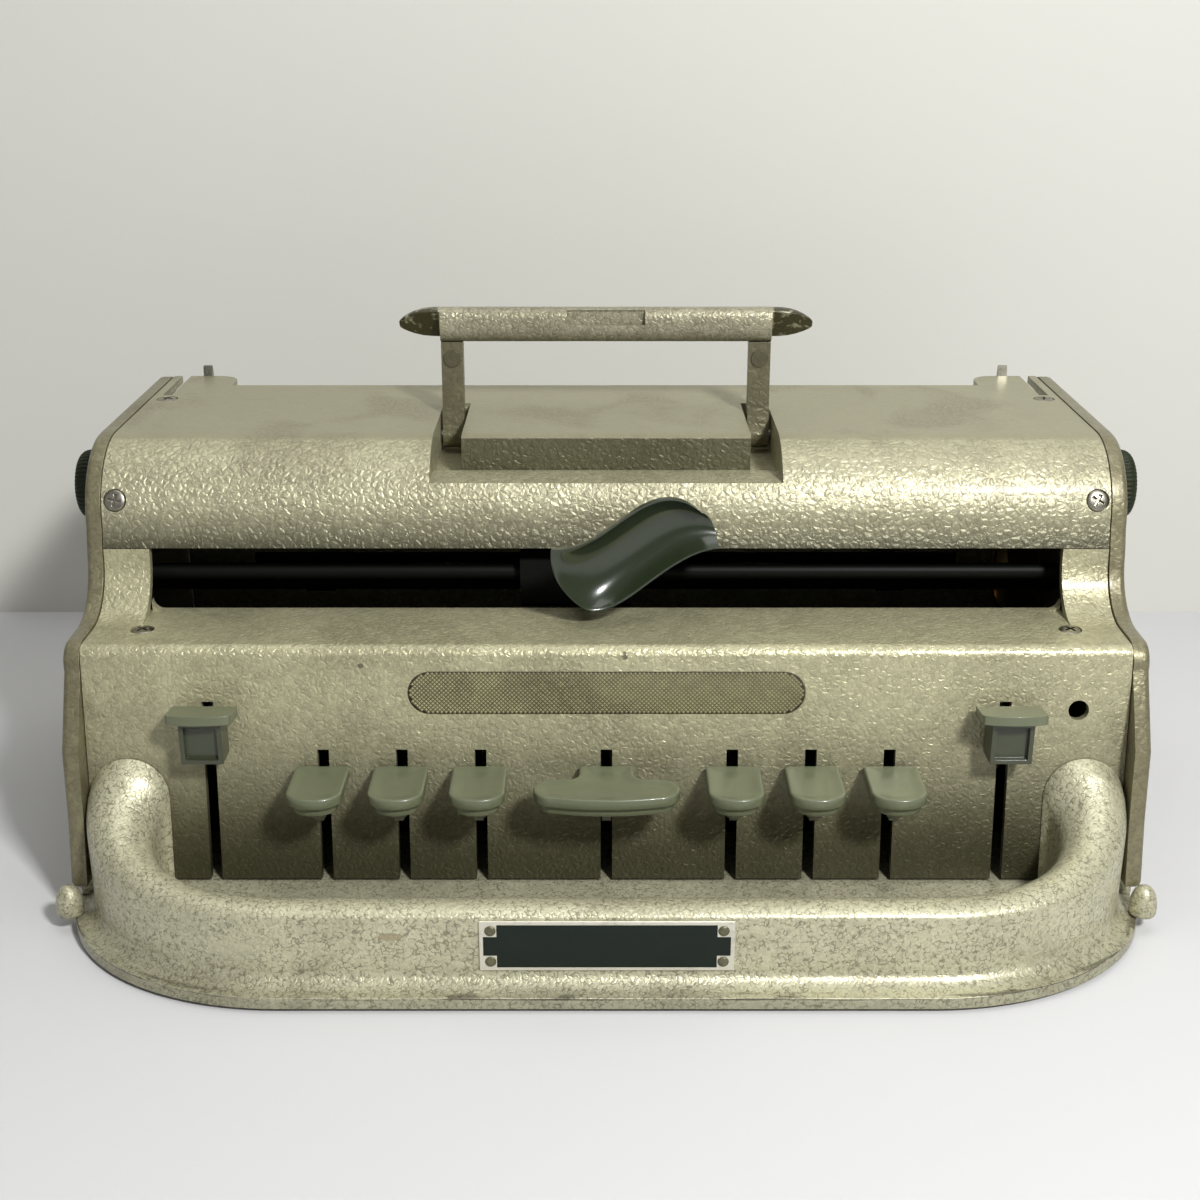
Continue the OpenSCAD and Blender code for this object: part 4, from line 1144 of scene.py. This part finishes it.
    def build_base(self) -> None:
        """Builds the base casting: guard, tray, skirt, ribs and corner brackets."""
        shop, lift, rear, rib = self.shop, self.rim_lift, self.rear_y, self.rib_t / 2
        under, inner = self.floor_h - self.floor_t, self.half_w - self.plate_t
        ahead, behind, raised = self.bracket_at
        parts = [self.guard(), self.tray()]
        for side in (-1, 1):
            low, high = sorted((side * inner, side * (self.half_w - 0.4)))
            parts.append(shop.box("skirt_part", (low, 0.6 - self.foot_y, lift), (high, rear, self.skirt_h)))
            for y in (-self.foot_y - ahead, rear - behind):
                place = Matrix.Translation((side * (self.half_w - 0.6), y, lift + raised))
                parts.append(shop.revolve("bracket_part", self.bracket, place, 40))
        parts.append(shop.box("rear_part", (-inner, rear - self.wall_t, lift), (inner, rear, self.skirt_h)))
        for x in self.rib_x:
            parts.append(shop.box("rib_part", (x - rib, 14 - self.front_y, under - 4),
                                  (x + rib, rear - 4, under + 0.5)))
        (front_in, front_back), (rear_in, rear_ahead) = self.feet
        for side in (-1, 1):
            for x, y in ((self.half_w - front_in, front_back - self.front_y),
                         (self.half_w - rear_in, rear - rear_ahead)):
                place = Matrix.Translation((side * x, y, under - 3))
                parts.append(shop.revolve("boss_part", self.boss, place, 48))
        base = shop.join("base_casting_fine", parts)
        shop.soften(base, 0.5, 3, 50)
        shop.hand_over(base, self.paint.guard, Slot.PAINT, "base_casting")

    def build_castings(self) -> None:
        """Rounds the edges of the end plates, the panels and the cover."""
        p, shop = self.paint, self.shop
        for node, finish, width in (("front_panel", p.panel, 0.5), ("top_cover", p.cover, 0.6),
                                    ("rear_panel", p.panel, 0.5)):
            shop.rounded(node, finish, Slot.PAINT, width)
        for side, node in ((-1, "left_end_plate"), (1, "right_end_plate")):
            plate = shop.cad_copy(node)
            shop.refill(plate, side * self.half_w)
            shop.soften(plate, 0.35, 2, 40)
            shop.hand_over(plate, p.side, Slot.PAINT, node)

    def build(self) -> None:
        """Builds every casting, and a dark sheet behind the rack that paints shade into its tooth gaps."""
        self.build_base()
        self.build_castings()
        self.shop.hand_over(self.shop.box("rack_strip", *self.shade_sheet), self.paint.inner_shade, Slot.STEEL)


# ---------------------------------------------------------------- handle, keys, carriage


@dataclass
class Handle(Part):
    """The folding handle: a bar with pointed ends on two legs."""

    hinge: Flat = (53.0, 143.3)
    swing: float = 42.0
    back: float = 2.0
    height: float = 12.6
    thick: float = 9.0
    width: float = 125.4
    point: float = 14.5
    bow: float = 1.3
    facet_tilt: float = 33.0
    facet_x: float = 62.1
    groove: tuple[float, float, float, float] = (14.6, 2.5, 6.0, 0.6)
    shares: tuple[float, ...] = (0.18, 0.42, 0.62, 0.79, 0.92, 0.98, 1.0)

    def ring(self, x: float, share: float) -> Ring:
        """Returns the bar's section.

        Args:
            x: Its place along the bar.
            share: The share of the full size that it is drawn in to.

        Returns:
            The section.
        """
        ring: Ring = []
        for a in (math.tau * i / 64 for i in range(64)):
            c, d = math.cos(a), math.sin(a)
            k = (abs(c) ** 3 + abs(d) ** 3) ** (-1 / 3)
            ring.append((x, self.hinge[0] + self.back + self.thick / 2 * share * c * k,
                         self.hinge[1] + self.swing + self.height / 2 * share * d * k))
        return ring

    def tip(self, side: int) -> list[Ring]:
        """Returns the rings of one pointed end, from the point to the bar.

        Args:
            side: 1 on the right, -1 on the left.

        Returns:
            The rings.
        """
        rings = []
        for e in (1 - (i / 24) ** self.bow for i in range(25)):
            t = (1 - e) ** (1 / self.bow) * 6
            i = min(int(t), 5)
            share = self.shares[i] + (self.shares[i + 1] - self.shares[i]) * (t - i)
            rings.append(self.ring(side * (self.width / 2 + self.point * e), share))
        return rings

    def build(self) -> None:
        """Builds the grip and dresses the legs and rivets."""
        shop, flat = self.shop, self.facet_x
        middle = [self.ring(x, 1.0) for x in (-flat, 0.3 - flat, flat - 0.3, flat)]
        grip = shop.loft("grip_fine", [*self.tip(-1), *middle, *reversed(self.tip(1))])
        tilt = math.radians(self.facet_tilt)
        facet = Vector((0, -math.cos(tilt), -math.sin(tilt)))
        centre = Vector((0, self.hinge[0] + self.back, self.hinge[1] + self.swing)) * MM
        for vert in grip.data.vertices:
            over = (vert.co - centre).dot(facet)
            if abs(vert.co.x) > (flat - 0.01) * MM and over > 0:
                vert.co -= facet * over
        top = self.hinge[1] + self.swing + self.height / 2
        front = self.hinge[0] + self.back - self.thick / 2
        half, deep, low, high = self.groove
        shop.carve(grip, (-half, front - 1, top - low), (half, front + deep, top - high))
        shop.tidy(grip)
        shop.soften(grip, 0.25, 2, 40)
        shop.hand_over(grip, self.paint.grip, Slot.PAINT, "handle_grip", body=Body.HANDLE)
        for node, finish, width in (("handle_legs", self.paint.leg, 0.7),
                                    ("handle_rivets", self.paint.rivet, 0.2)):
            shop.rounded(node, finish, Slot.HANDLE_METAL, width, body=Body.HANDLE)


@dataclass
class Keys(Part):
    """The nine keys' caps; each lip step is a distance in from the edge and a height over the top."""

    first: float = 43.2
    pitch: float = 27.0
    width: float = 18.6
    length: float = 26.0
    top: float = 54.0
    back: float = -50.3
    lobe: tuple[float, float, float] = (17.5, -17.0, 7.0)
    fillet: tuple[float, float, float] = (13.3, -6.0, 4.0)
    stem_w: float = 5.2
    stem_z: Flat = (-12.4, -6.8)
    lip: tuple[Flat, ...] = (
        (4.2, -7.2), (2.9, -7.15), (2.3, -6.95), (1.95, -6.5), (1.85, -5.6), (1.8, -4.0), (1.5, -3.8),
        (0.6, -3.7), (0.2, -3.5), (0.0, -3.1), (0.0, -0.7), (0.06, -0.4), (0.22, -0.15), (0.45, -0.02),
        (0.8, 0.0), (1.5, -0.08), (2.6, -0.3), (3.6, -0.45), (4.8, -0.55))

    def space_outline(self, inward: float) -> list[Flat]:
        """Returns the space key's T-shaped outline with filleted inner corners.

        Args:
            inward: How far it is drawn in.

        Returns:
            The outline.
        """
        points = self.square_end(self.width / 2 - inward, inward, max(1.4 - inward, 0.2))
        (x, y, radius), (fillet_x, fillet_y, fillet) = self.lobe, self.fillet
        points += arc((-fillet_x, fillet_y), fillet + inward, 0, -90, 10)
        points += arc((-x, y), radius - inward, 90, 268, 20)
        points += [(px, y - radius + inward - 2 * (1 - (px / x) ** 2))
                   for px in (-x + 2 * x * i / 20 for i in range(1, 20))]
        points += arc((x, y), radius - inward, -88, 90, 20)
        return points + arc((fillet_x, fillet_y), fillet + inward, 270, 180, 10)

    @staticmethod
    def square_end(half: float, inward: float, corner: float) -> list[Flat]:
        """Returns the square back end that every cap has, with its two rounded corners."""
        return (arc((half - corner, -inward - corner), corner, 0, 90, 6)
                + arc((corner - half, -inward - corner), corner, 90, 180, 6))

    def outline(self, inward: float, width: float, length: float) -> list[Flat]:
        """Returns a cap's D-shaped outline, square at the back, drawn in by a distance."""
        half = width / 2 - inward
        return self.square_end(half, inward, min(1.6, half * 0.4)) + [
            (half * math.cos(a), -length + inward + half * 0.72 * (1 + math.sin(a)))
            for a in (math.pi * (1 + i / 40) for i in range(41))]

    def cap(self, name: str, x: float, outline: Callable[[float], list[Flat]], stem: Obj, body: Body) -> None:
        """Builds one cap: a dished plate on a smaller tier, on its stem.

        Args:
            name: The CAD node that it replaces.
            x: Its place across the machine.
            outline: Gives the plate's outline, drawn in by a distance.
            stem: The stem, which is joined to it.
            body: The key's body.
        """
        rings = [[(x + px, self.back + py, self.top + z) for px, py in outline(g)] for g, z in self.lip]
        obj = self.shop.join(name + "_fine", [self.shop.loft("cap_part", rings), stem])
        self.shop.hand_over(obj, self.paint.key, Slot.KEY, name, body=body)

    def build(self) -> None:
        """Builds the dot and space caps and rounds the edges of the raised ones."""
        low, high = (self.top + z for z in self.stem_z)
        for i in range(6):
            side, step = (-1, i) if i < 3 else (1, i - 3)
            x = side * (self.first + self.pitch * step)
            rings = [[(x + px, self.back - 2 + py, z)
                      for px, py in self.outline(0.0, self.stem_w, self.length * 0.5)] for z in (low, high)]
            self.cap(f"key_{i + 1}_cap", x, lambda g: self.outline(g, self.width, self.length),
                     self.shop.loft("stem_part", rings), Body(f"key_{i + 1}"))
        half = self.stem_w / 2
        stem = self.shop.box("stem_part", (-half, self.back - 13, low), (half, self.back - 3, high))
        self.cap("space_cap", 0.0, self.space_outline, stem, Body.SPACE)
        for node, body in (("line_cap", Body.LINE), ("backspace_cap", Body.BACKSPACE)):
            self.shop.rounded(node, self.paint.shaded_raised_key, Slot.KEY, 1.0, 4, 30, body)


@dataclass
class CarriageLever(Part):
    """The carriage's thumb lever, an S-shaped dish between two cubic curves."""

    upper: tuple[Flat, ...] = ((-18.9, 124.5), (0.6, 120.5), (13, 152.2), (32.4, 134.9))
    lower: tuple[Flat, ...] = ((-8.8, 103.2), (3.9, 93.8), (19.6, 121), (39.1, 121.5))
    bulge: tuple[Flat, Flat] = ((-3.2, -0.9), (1.2, 0.4))
    front_y: float = -27.0
    lean: float = 9.0
    depth: float = 8.0
    wall: float = 2.4

    @staticmethod
    def bezier(points: Sequence[Flat], t: float) -> Vector:
        """Returns a point on a cubic curve."""
        a, b, c, d = (Vector(p) for p in points)
        return a * (1 - t) ** 3 + b * 3 * t * (1 - t) ** 2 + c * 3 * t * t * (1 - t) + d * t ** 3

    def point(self, u: float, v: float) -> Point:
        """Returns a point of the dish's front face.

        Args:
            u: 0 at the left lobe, 1 at the right end.
            v: 0 on the upper edge, 1 on the lower edge.

        Returns:
            The point.
        """
        top, low = self.bezier(self.upper, u), self.bezier(self.lower, u)
        left, right = (Vector(push) for push in self.bulge)
        bow = 4 * v * (1 - v) * (left * (1 - u) ** 3 + right * u ** 3)
        p = top * (1 - v) + low * v + bow
        side, end = min(abs(2 * v - 1) / 0.94, 1.0), max((u - 0.025) / 0.975, 0.0)
        sink = self.depth * (1 - side ** 3) * (1 - (1 - end) ** 5) * (1 - 0.3 * u ** 5)
        return (p.x, self.front_y + self.lean * u + sink, p.y)

    def build(self) -> None:
        """Builds the dish."""
        rings: list[Ring] = []
        for i in range(41):
            front = [self.point(i / 40, j / 32) for j in range(33)]
            rings.append(front + [(x, y + self.wall, z) for x, y, z in reversed(front)])
        dish = self.shop.loft("carriage_lever_fine", rings)
        self.shop.soften(dish, 0.8, 4, 50)
        self.shop.hand_over(dish, self.paint.dish, Slot.LEVER, "carriage_lever", body=Body.CARRIAGE)


# ---------------------------------------------------------------- roller knobs and trim


@dataclass
class FeedKnobs(Part):
    """The two ribbed knobs that turn the roller."""

    centre: Flat = (38.0, 128.0)
    radius: float = 13.0
    start: float = 185.3
    length: float = 11.7
    ribs: int = 46
    groove: float = 0.55
    edge: float = 3.5

    def profile(self) -> list[Flat]:
        """Returns the knob's distance out and radius, from its foot to its end.

        Returns:
            The profile.
        """
        long, radius, edge = self.length, self.radius, self.edge
        points = [(0.0, radius - 0.9), (0.5, radius - 0.2), (0.9, radius)]
        points += [(0.9 + (long - edge - 0.9) * i / 6, radius) for i in range(1, 7)]
        points += [(long - edge + edge * math.sin(a), radius - edge * (1 - math.cos(a)))
                   for a in (math.pi / 2 * i / 9 for i in range(1, 10))]
        return points + [(long, radius - edge - 1.0), (long - 0.5, radius - edge - 1.6), (long - 0.5, 2.0)]

    def ring(self, x: float, radius: float) -> Ring:
        """Returns one ribbed ring round the roller's axis.

        Args:
            x: Its place along the axis.
            radius: Its radius over the ribs; small rings have none.

        Returns:
            The ring.
        """
        ring: Ring = []
        for a in (math.tau * i / (self.ribs * 8) for i in range(self.ribs * 8)):
            dip = self.groove * (1 - abs(math.cos(a * self.ribs / 2)) ** 0.6)
            r = radius - (dip if radius > 8 else 0)
            ring.append((x, self.centre[0] + r * math.cos(a), self.centre[1] + r * math.sin(a)))
        return ring

    def build(self) -> None:
        """Builds both knobs."""
        for side, name in ((-1, "left_knob"), (1, "right_knob")):
            rings = [self.ring(side * (self.start + out), radius) for out, radius in self.profile()]
            knob = self.shop.loft(name + "_fine", rings)
            self.shop.hand_over(knob, self.paint.knob, Slot.KNOB, name, body=Body.ROLLER)


@dataclass
class Trim(Part):
    """Screws, drive pins, the bare front plate and the knurled name recess."""

    repeater: Repeater
    roll: tuple[float, float, float] = (24.0, 124.0, 28.0)
    screw_tilt: float = 21.0
    roll_screw_x: float = 173.5
    rear_screw: Point = (171.7, 74.0, 152.0)
    ledge_screw: Point = (161.0, -27.0, 95.0)
    panel_foot: Flat = (-54.0, 12.0)
    panel_rise: Flat = (10.0, 83.0)
    recess_z: float = 79.0
    recess_w: float = 136.0
    recess_h: float = 15.5
    recess_d: float = 0.8
    diamond: tuple[float, float, float] = (0.16, 0.74, 0.42)
    knurl_pitch: float = 1.5
    plate_w: float = 81.0
    plate_h: float = 18.0
    plate_z: float = 20.0
    plate_y: float = -109.8
    plate_t: float = 0.8
    border: float = 1.3
    notch: float = 5.6
    head: tuple[Flat, ...] = ((0, -9), (1.9, -9), (1.9, -1.2), (3.55, -1.2), (3.8, -1.0), (3.8, -0.4),
                              (3.62, -0.12), (3.2, 0.08), (2.4, 0.26), (1.2, 0.38), (0, 0.42))
    pin: tuple[Flat, ...] = ((0, 0), (0.98, 0), (0.98, 0.78), (1.75, 0.82), (1.8, 0.95), (1.55, 1.2),
                             (1.0, 1.42), (0, 1.5))

    def screw(self) -> Obj:
        """Builds a cross-head screw, its head's top near the origin.

        Returns:
            The screw.
        """
        screw = self.shop.revolve("screw_blank", self.head, Matrix.Identity(4), 40)
        for x, y in ((2.3, 0.45), (0.45, 2.3)):
            self.shop.carve(screw, (-x, -y, -0.75), (x, y, 2))
        return screw

    @staticmethod
    def pair(place: Point, aim: Point) -> list[Spot]:
        """Returns the left and the right spot of a mirrored pair."""
        return [((side * place[0], place[1], place[2]), aim, ACROSS) for side in (-1, 1)]

    def build_screws(self) -> None:
        """Sets the cover's and the panel's screws."""
        tilt, (y, z, radius), up = math.radians(self.screw_tilt), self.roll, (0, 0, 1)
        lean = (0.0, -math.cos(tilt), math.sin(tilt))
        face = (self.roll_screw_x, y + radius * lean[1], z + radius * lean[2])
        cover, ledge = self.pair(face, lean) + self.pair(self.rear_screw, up), self.pair(self.ledge_screw, up)
        for name, spots, seed in (("cover_screws", cover, 3), ("panel_screws", ledge, 11)):
            obj = self.repeater.spread(name + "_fine", self.screw(), spots, self.paint.zinc, 1.5, seed)
            self.shop.hand_over(obj, self.paint.zinc, Slot.ZINC, name)

    def build_plate(self) -> None:
        """Builds the bare front plate: a metal border, a dark field and four drive pins."""
        shop, w, h, z, y = self.shop, self.plate_w / 2, self.plate_h / 2, self.plate_z, self.plate_y
        base = shop.box("front_plate_fine", (-w, y, z - h), (w, y + self.plate_t, z + h))
        shop.soften(base, 0.3, 3, 40)
        shop.hand_over(base, self.paint.border, Slot.PLATE, "front_plate")
        b, notch = self.border, self.notch
        corners = [(w - b, h - notch), (w - notch, h - notch), (w - notch, h - b)]
        outline: list[Flat] = []
        for sx, sz in ((1, 1), (-1, 1), (-1, -1), (1, -1)):
            run = corners if sx * sz > 0 else corners[::-1]
            outline += [(sx * px, sz * pz) for px, pz in run]
        rings = [[(px, y - d, z + pz) for px, pz in outline] for d in (-0.1, 0.12)]
        enamel = shop.loft("front_plate_field", rings)
        shop.soften(enamel, 0.08, 2, 40)
        shop.hand_over(enamel, self.paint.plate, Slot.PLATE)
        pin = shop.revolve("pin_blank", self.pin, Matrix.Identity(4), 24)
        spots = [((sx * (w - 3.6), y + self.plate_t, z + sz * (h - 3.4)), (0, -1, 0), ACROSS)
                 for sx in (-1, 1) for sz in (-1, 1)]
        pins = self.repeater.spread("plate_pins_fine", pin, spots, self.paint.leg)
        shop.hand_over(pins, self.paint.leg, Slot.STEEL, "plate_pins")

    def build_knurl(self) -> None:
        """Fills the bare name recess with a diamond knurl on a dark field."""
        shop, (top, base, high), (run, rise) = self.shop, self.diamond, self.panel_rise
        points = [(base, 0, 0), (0, base, 0), (-base, 0, 0), (0, -base, 0),
                  (top, 0, high), (0, top, high), (-top, 0, high), (0, -top, high)]
        faces = [[0, 1, 5, 4], [1, 2, 6, 5], [2, 3, 7, 6], [3, 0, 4, 7], [4, 5, 6, 7], [3, 2, 1, 0]]
        diamond = shop.mesh("diamond_blank", points, faces)
        lean = math.atan2(run, rise)
        out = Vector((0, -math.cos(lean), math.sin(lean)))
        up = Vector((0, math.sin(lean), math.cos(lean)))
        y = self.panel_foot[0] + (self.recess_z - self.panel_foot[1]) * run / rise
        middle = Vector((0, y, self.recess_z)) - out * (self.recess_d + 0.02)
        half, r, step = (self.recess_w - self.recess_h) / 2, self.recess_h / 2, self.knurl_pitch
        spots = []
        for row in range(-10, 11):
            for column in range(-50, 51):
                a, b = (column + (row % 2) / 2) * step, row * step / 2
                if math.hypot(max(abs(a) - half, 0), b) < r - 0.9:
                    spots.append((tuple(middle + Vector((a, 0, 0)) + up * b), tuple(out), ACROSS))
        floor = arc((half, 0), r - 0.3, -90, 90, 24) + arc((-half, 0), r - 0.3, 90, 270, 24)
        rings = [[tuple(middle + out * d + Vector((a, 0, 0)) + up * b) for a, b in floor]
                 for d in (-0.1, 0.06)]
        shop.hand_over(shop.loft("name_recess_field", rings), self.paint.groove, Slot.PAINT)
        knurl = self.repeater.spread("name_recess_knurl", diamond, spots, self.paint.knurl)
        shop.hand_over(knurl, self.paint.knurl, Slot.PAINT)

    def build(self) -> None:
        """Builds every small part."""
        self.build_screws()
        self.build_plate()
        self.build_knurl()


# ---------------------------------------------------------------- studio


@dataclass(frozen=True)
class Lamp:
    """A square soft light that faces a point over the origin; lengths are in metres.

    Attributes:
        name: Its name.
        place: Where it hangs.
        aim_z: Height of the point that it faces.
        size: Its side.
        power: Its power in watts.
    """

    name: str
    place: Point
    aim_z: float
    size: float
    power: float

    def hang(self) -> None:
        """Adds the lamp to the scene."""
        data = bpy.data.lights.new(self.name, "AREA")
        data.size, data.energy = self.size, self.power
        obj = add_object(self.name, data)
        obj.location = self.place
        aim = Vector((0, 0, self.aim_z)) - Vector(self.place)
        obj.rotation_euler = aim.to_track_quat("-Z", "Y").to_euler()


@dataclass
class Studio:
    """The floor, the wall behind it, the lights and the camera, at the photograph's viewing angle."""

    finishes: Finishes
    wall_y: float = 236.0
    wall_h: float = 2400.0
    reach: float = 3000.0
    floor_colour: Rgba = (0.55, 0.55, 0.553, 1.0)
    wall_colour: Rgba = (0.61, 0.605, 0.56, 1.0)
    daylight: float = 0.2
    lamps: tuple[Lamp, ...] = (Lamp("key_light", (0.40, -0.78, 0.80), 0.08, 0.13, 14.5),
                               Lamp("fill_light", (-0.9, -0.9, 0.6), 0.08, 1.2, 1.0),
                               Lamp("top_light", (0.1, 0.15, 1.3), 0.1, 1.1, 8.5))
    lens: float = 49.8
    sensor: float = 36.0
    eye: Point = (-0.0022, -0.5624, 0.3082)
    tilt: float = 69.3

    def backdrop_material(self, name: str, colour: Rgba) -> Material:
        """Makes a plain matt finish that is seen from its front only.

        Args:
            name: The material's name.
            colour: Its colour.

        Returns:
            The finish.
        """
        material, w, bsdf, place = self.finishes.start(name)
        tone = w.plus(0.985, w.mul(w.noise(place, 0.004, 2.0), 0.03))
        behind = w.add("ShaderNodeNewGeometry").outputs["Backfacing"]
        w.fill(bsdf, Base_Color=w.mix(1.0, colour, w.grey(tone), "MULTIPLY"), Roughness=0.9,
               Specular_IOR_Level=0.1, Alpha=w.minus(1.0, behind))
        return material

    def build_room(self) -> None:
        """Builds the floor and the wall."""
        far, y = self.reach, self.wall_y
        for name, colour, near, back, top in (("floor", self.floor_colour, -far, far, 0.0),
                                              ("wall", self.wall_colour, y, y, self.wall_h)):
            corners = [(-far, near, 0), (far, near, 0), (far, back, top), (-far, back, top)]
            obj = Workshop.mesh(name, corners, [[0, 1, 2, 3]])
            obj.data.materials.append(self.backdrop_material(name + "_finish", colour))

    def build_lights(self) -> None:
        """Hangs the lamps and sets the world."""
        for lamp in self.lamps:
            lamp.hang()
        world = bpy.data.worlds.new("studio_world")
        world.use_nodes = True
        Wiring(world.node_tree).fill(world.node_tree.nodes["Background"], Color=(1, 1, 1, 1),
                                     Strength=self.daylight)
        bpy.context.scene.world = world

    def build(self) -> None:
        """Builds the room, the lights and the camera."""
        self.build_room()
        self.build_lights()
        data = bpy.data.cameras.new("camera")
        data.lens, data.sensor_width = self.lens, self.sensor
        camera = add_object("camera", data)
        camera.location = self.eye
        camera.rotation_euler = (math.radians(self.tilt), 0, 0)
        bpy.context.scene.camera = camera
        bpy.context.scene.view_settings.view_transform = "Standard"


def clear_scene() -> None:
    """Removes Blender's start-up objects."""
    for obj in list(bpy.data.objects):
        bpy.data.objects.remove(obj)


# Parts seen inside the case; they get near-black steel as painted shade.
INNER = ("front_rail", "rear_rail", "escapement_rack", "key_comb", "key_stop_bar", "key_pivot_shaft",
         "roller_shaft", "ratchet_wheel", "lever_stem")


def dress_cad_nodes(frame: dict[str, Any], paint: Paintbox) -> None:
    """Gives each CAD node the finish of its slot; the parts inside the case get near-black steel as painted
    shade.

    Args:
        frame: The loaded frame.
        paint: The finishes.
    """
    for row in frame["record"]["subparts"]:
        obj = frame["nodes"][row["node"]]
        slot = Slot(row["material_slot"])
        obj.data.materials.clear()
        obj.data.materials.append(paint.inner_shade if row["node"] in INNER else paint.for_slot(slot))


def main() -> None:
    """Builds the dressed writer and the studio."""
    logging.basicConfig(level=logging.INFO, format="%(message)s")
    clear_scene()
    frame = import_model()
    paint = Paintbox()
    shop = Workshop(frame)
    dress_cad_nodes(frame, paint)
    parts = (Case(shop, paint), Handle(shop, paint), Keys(shop, paint), CarriageLever(shop, paint),
             FeedKnobs(shop, paint), Trim(shop, paint, Repeater()))
    for part in parts:
        part.build()
        LOG.info("%s is built", type(part).__name__)
    Studio(paint.finishes).build()


if __name__ == "__main__":
    main()
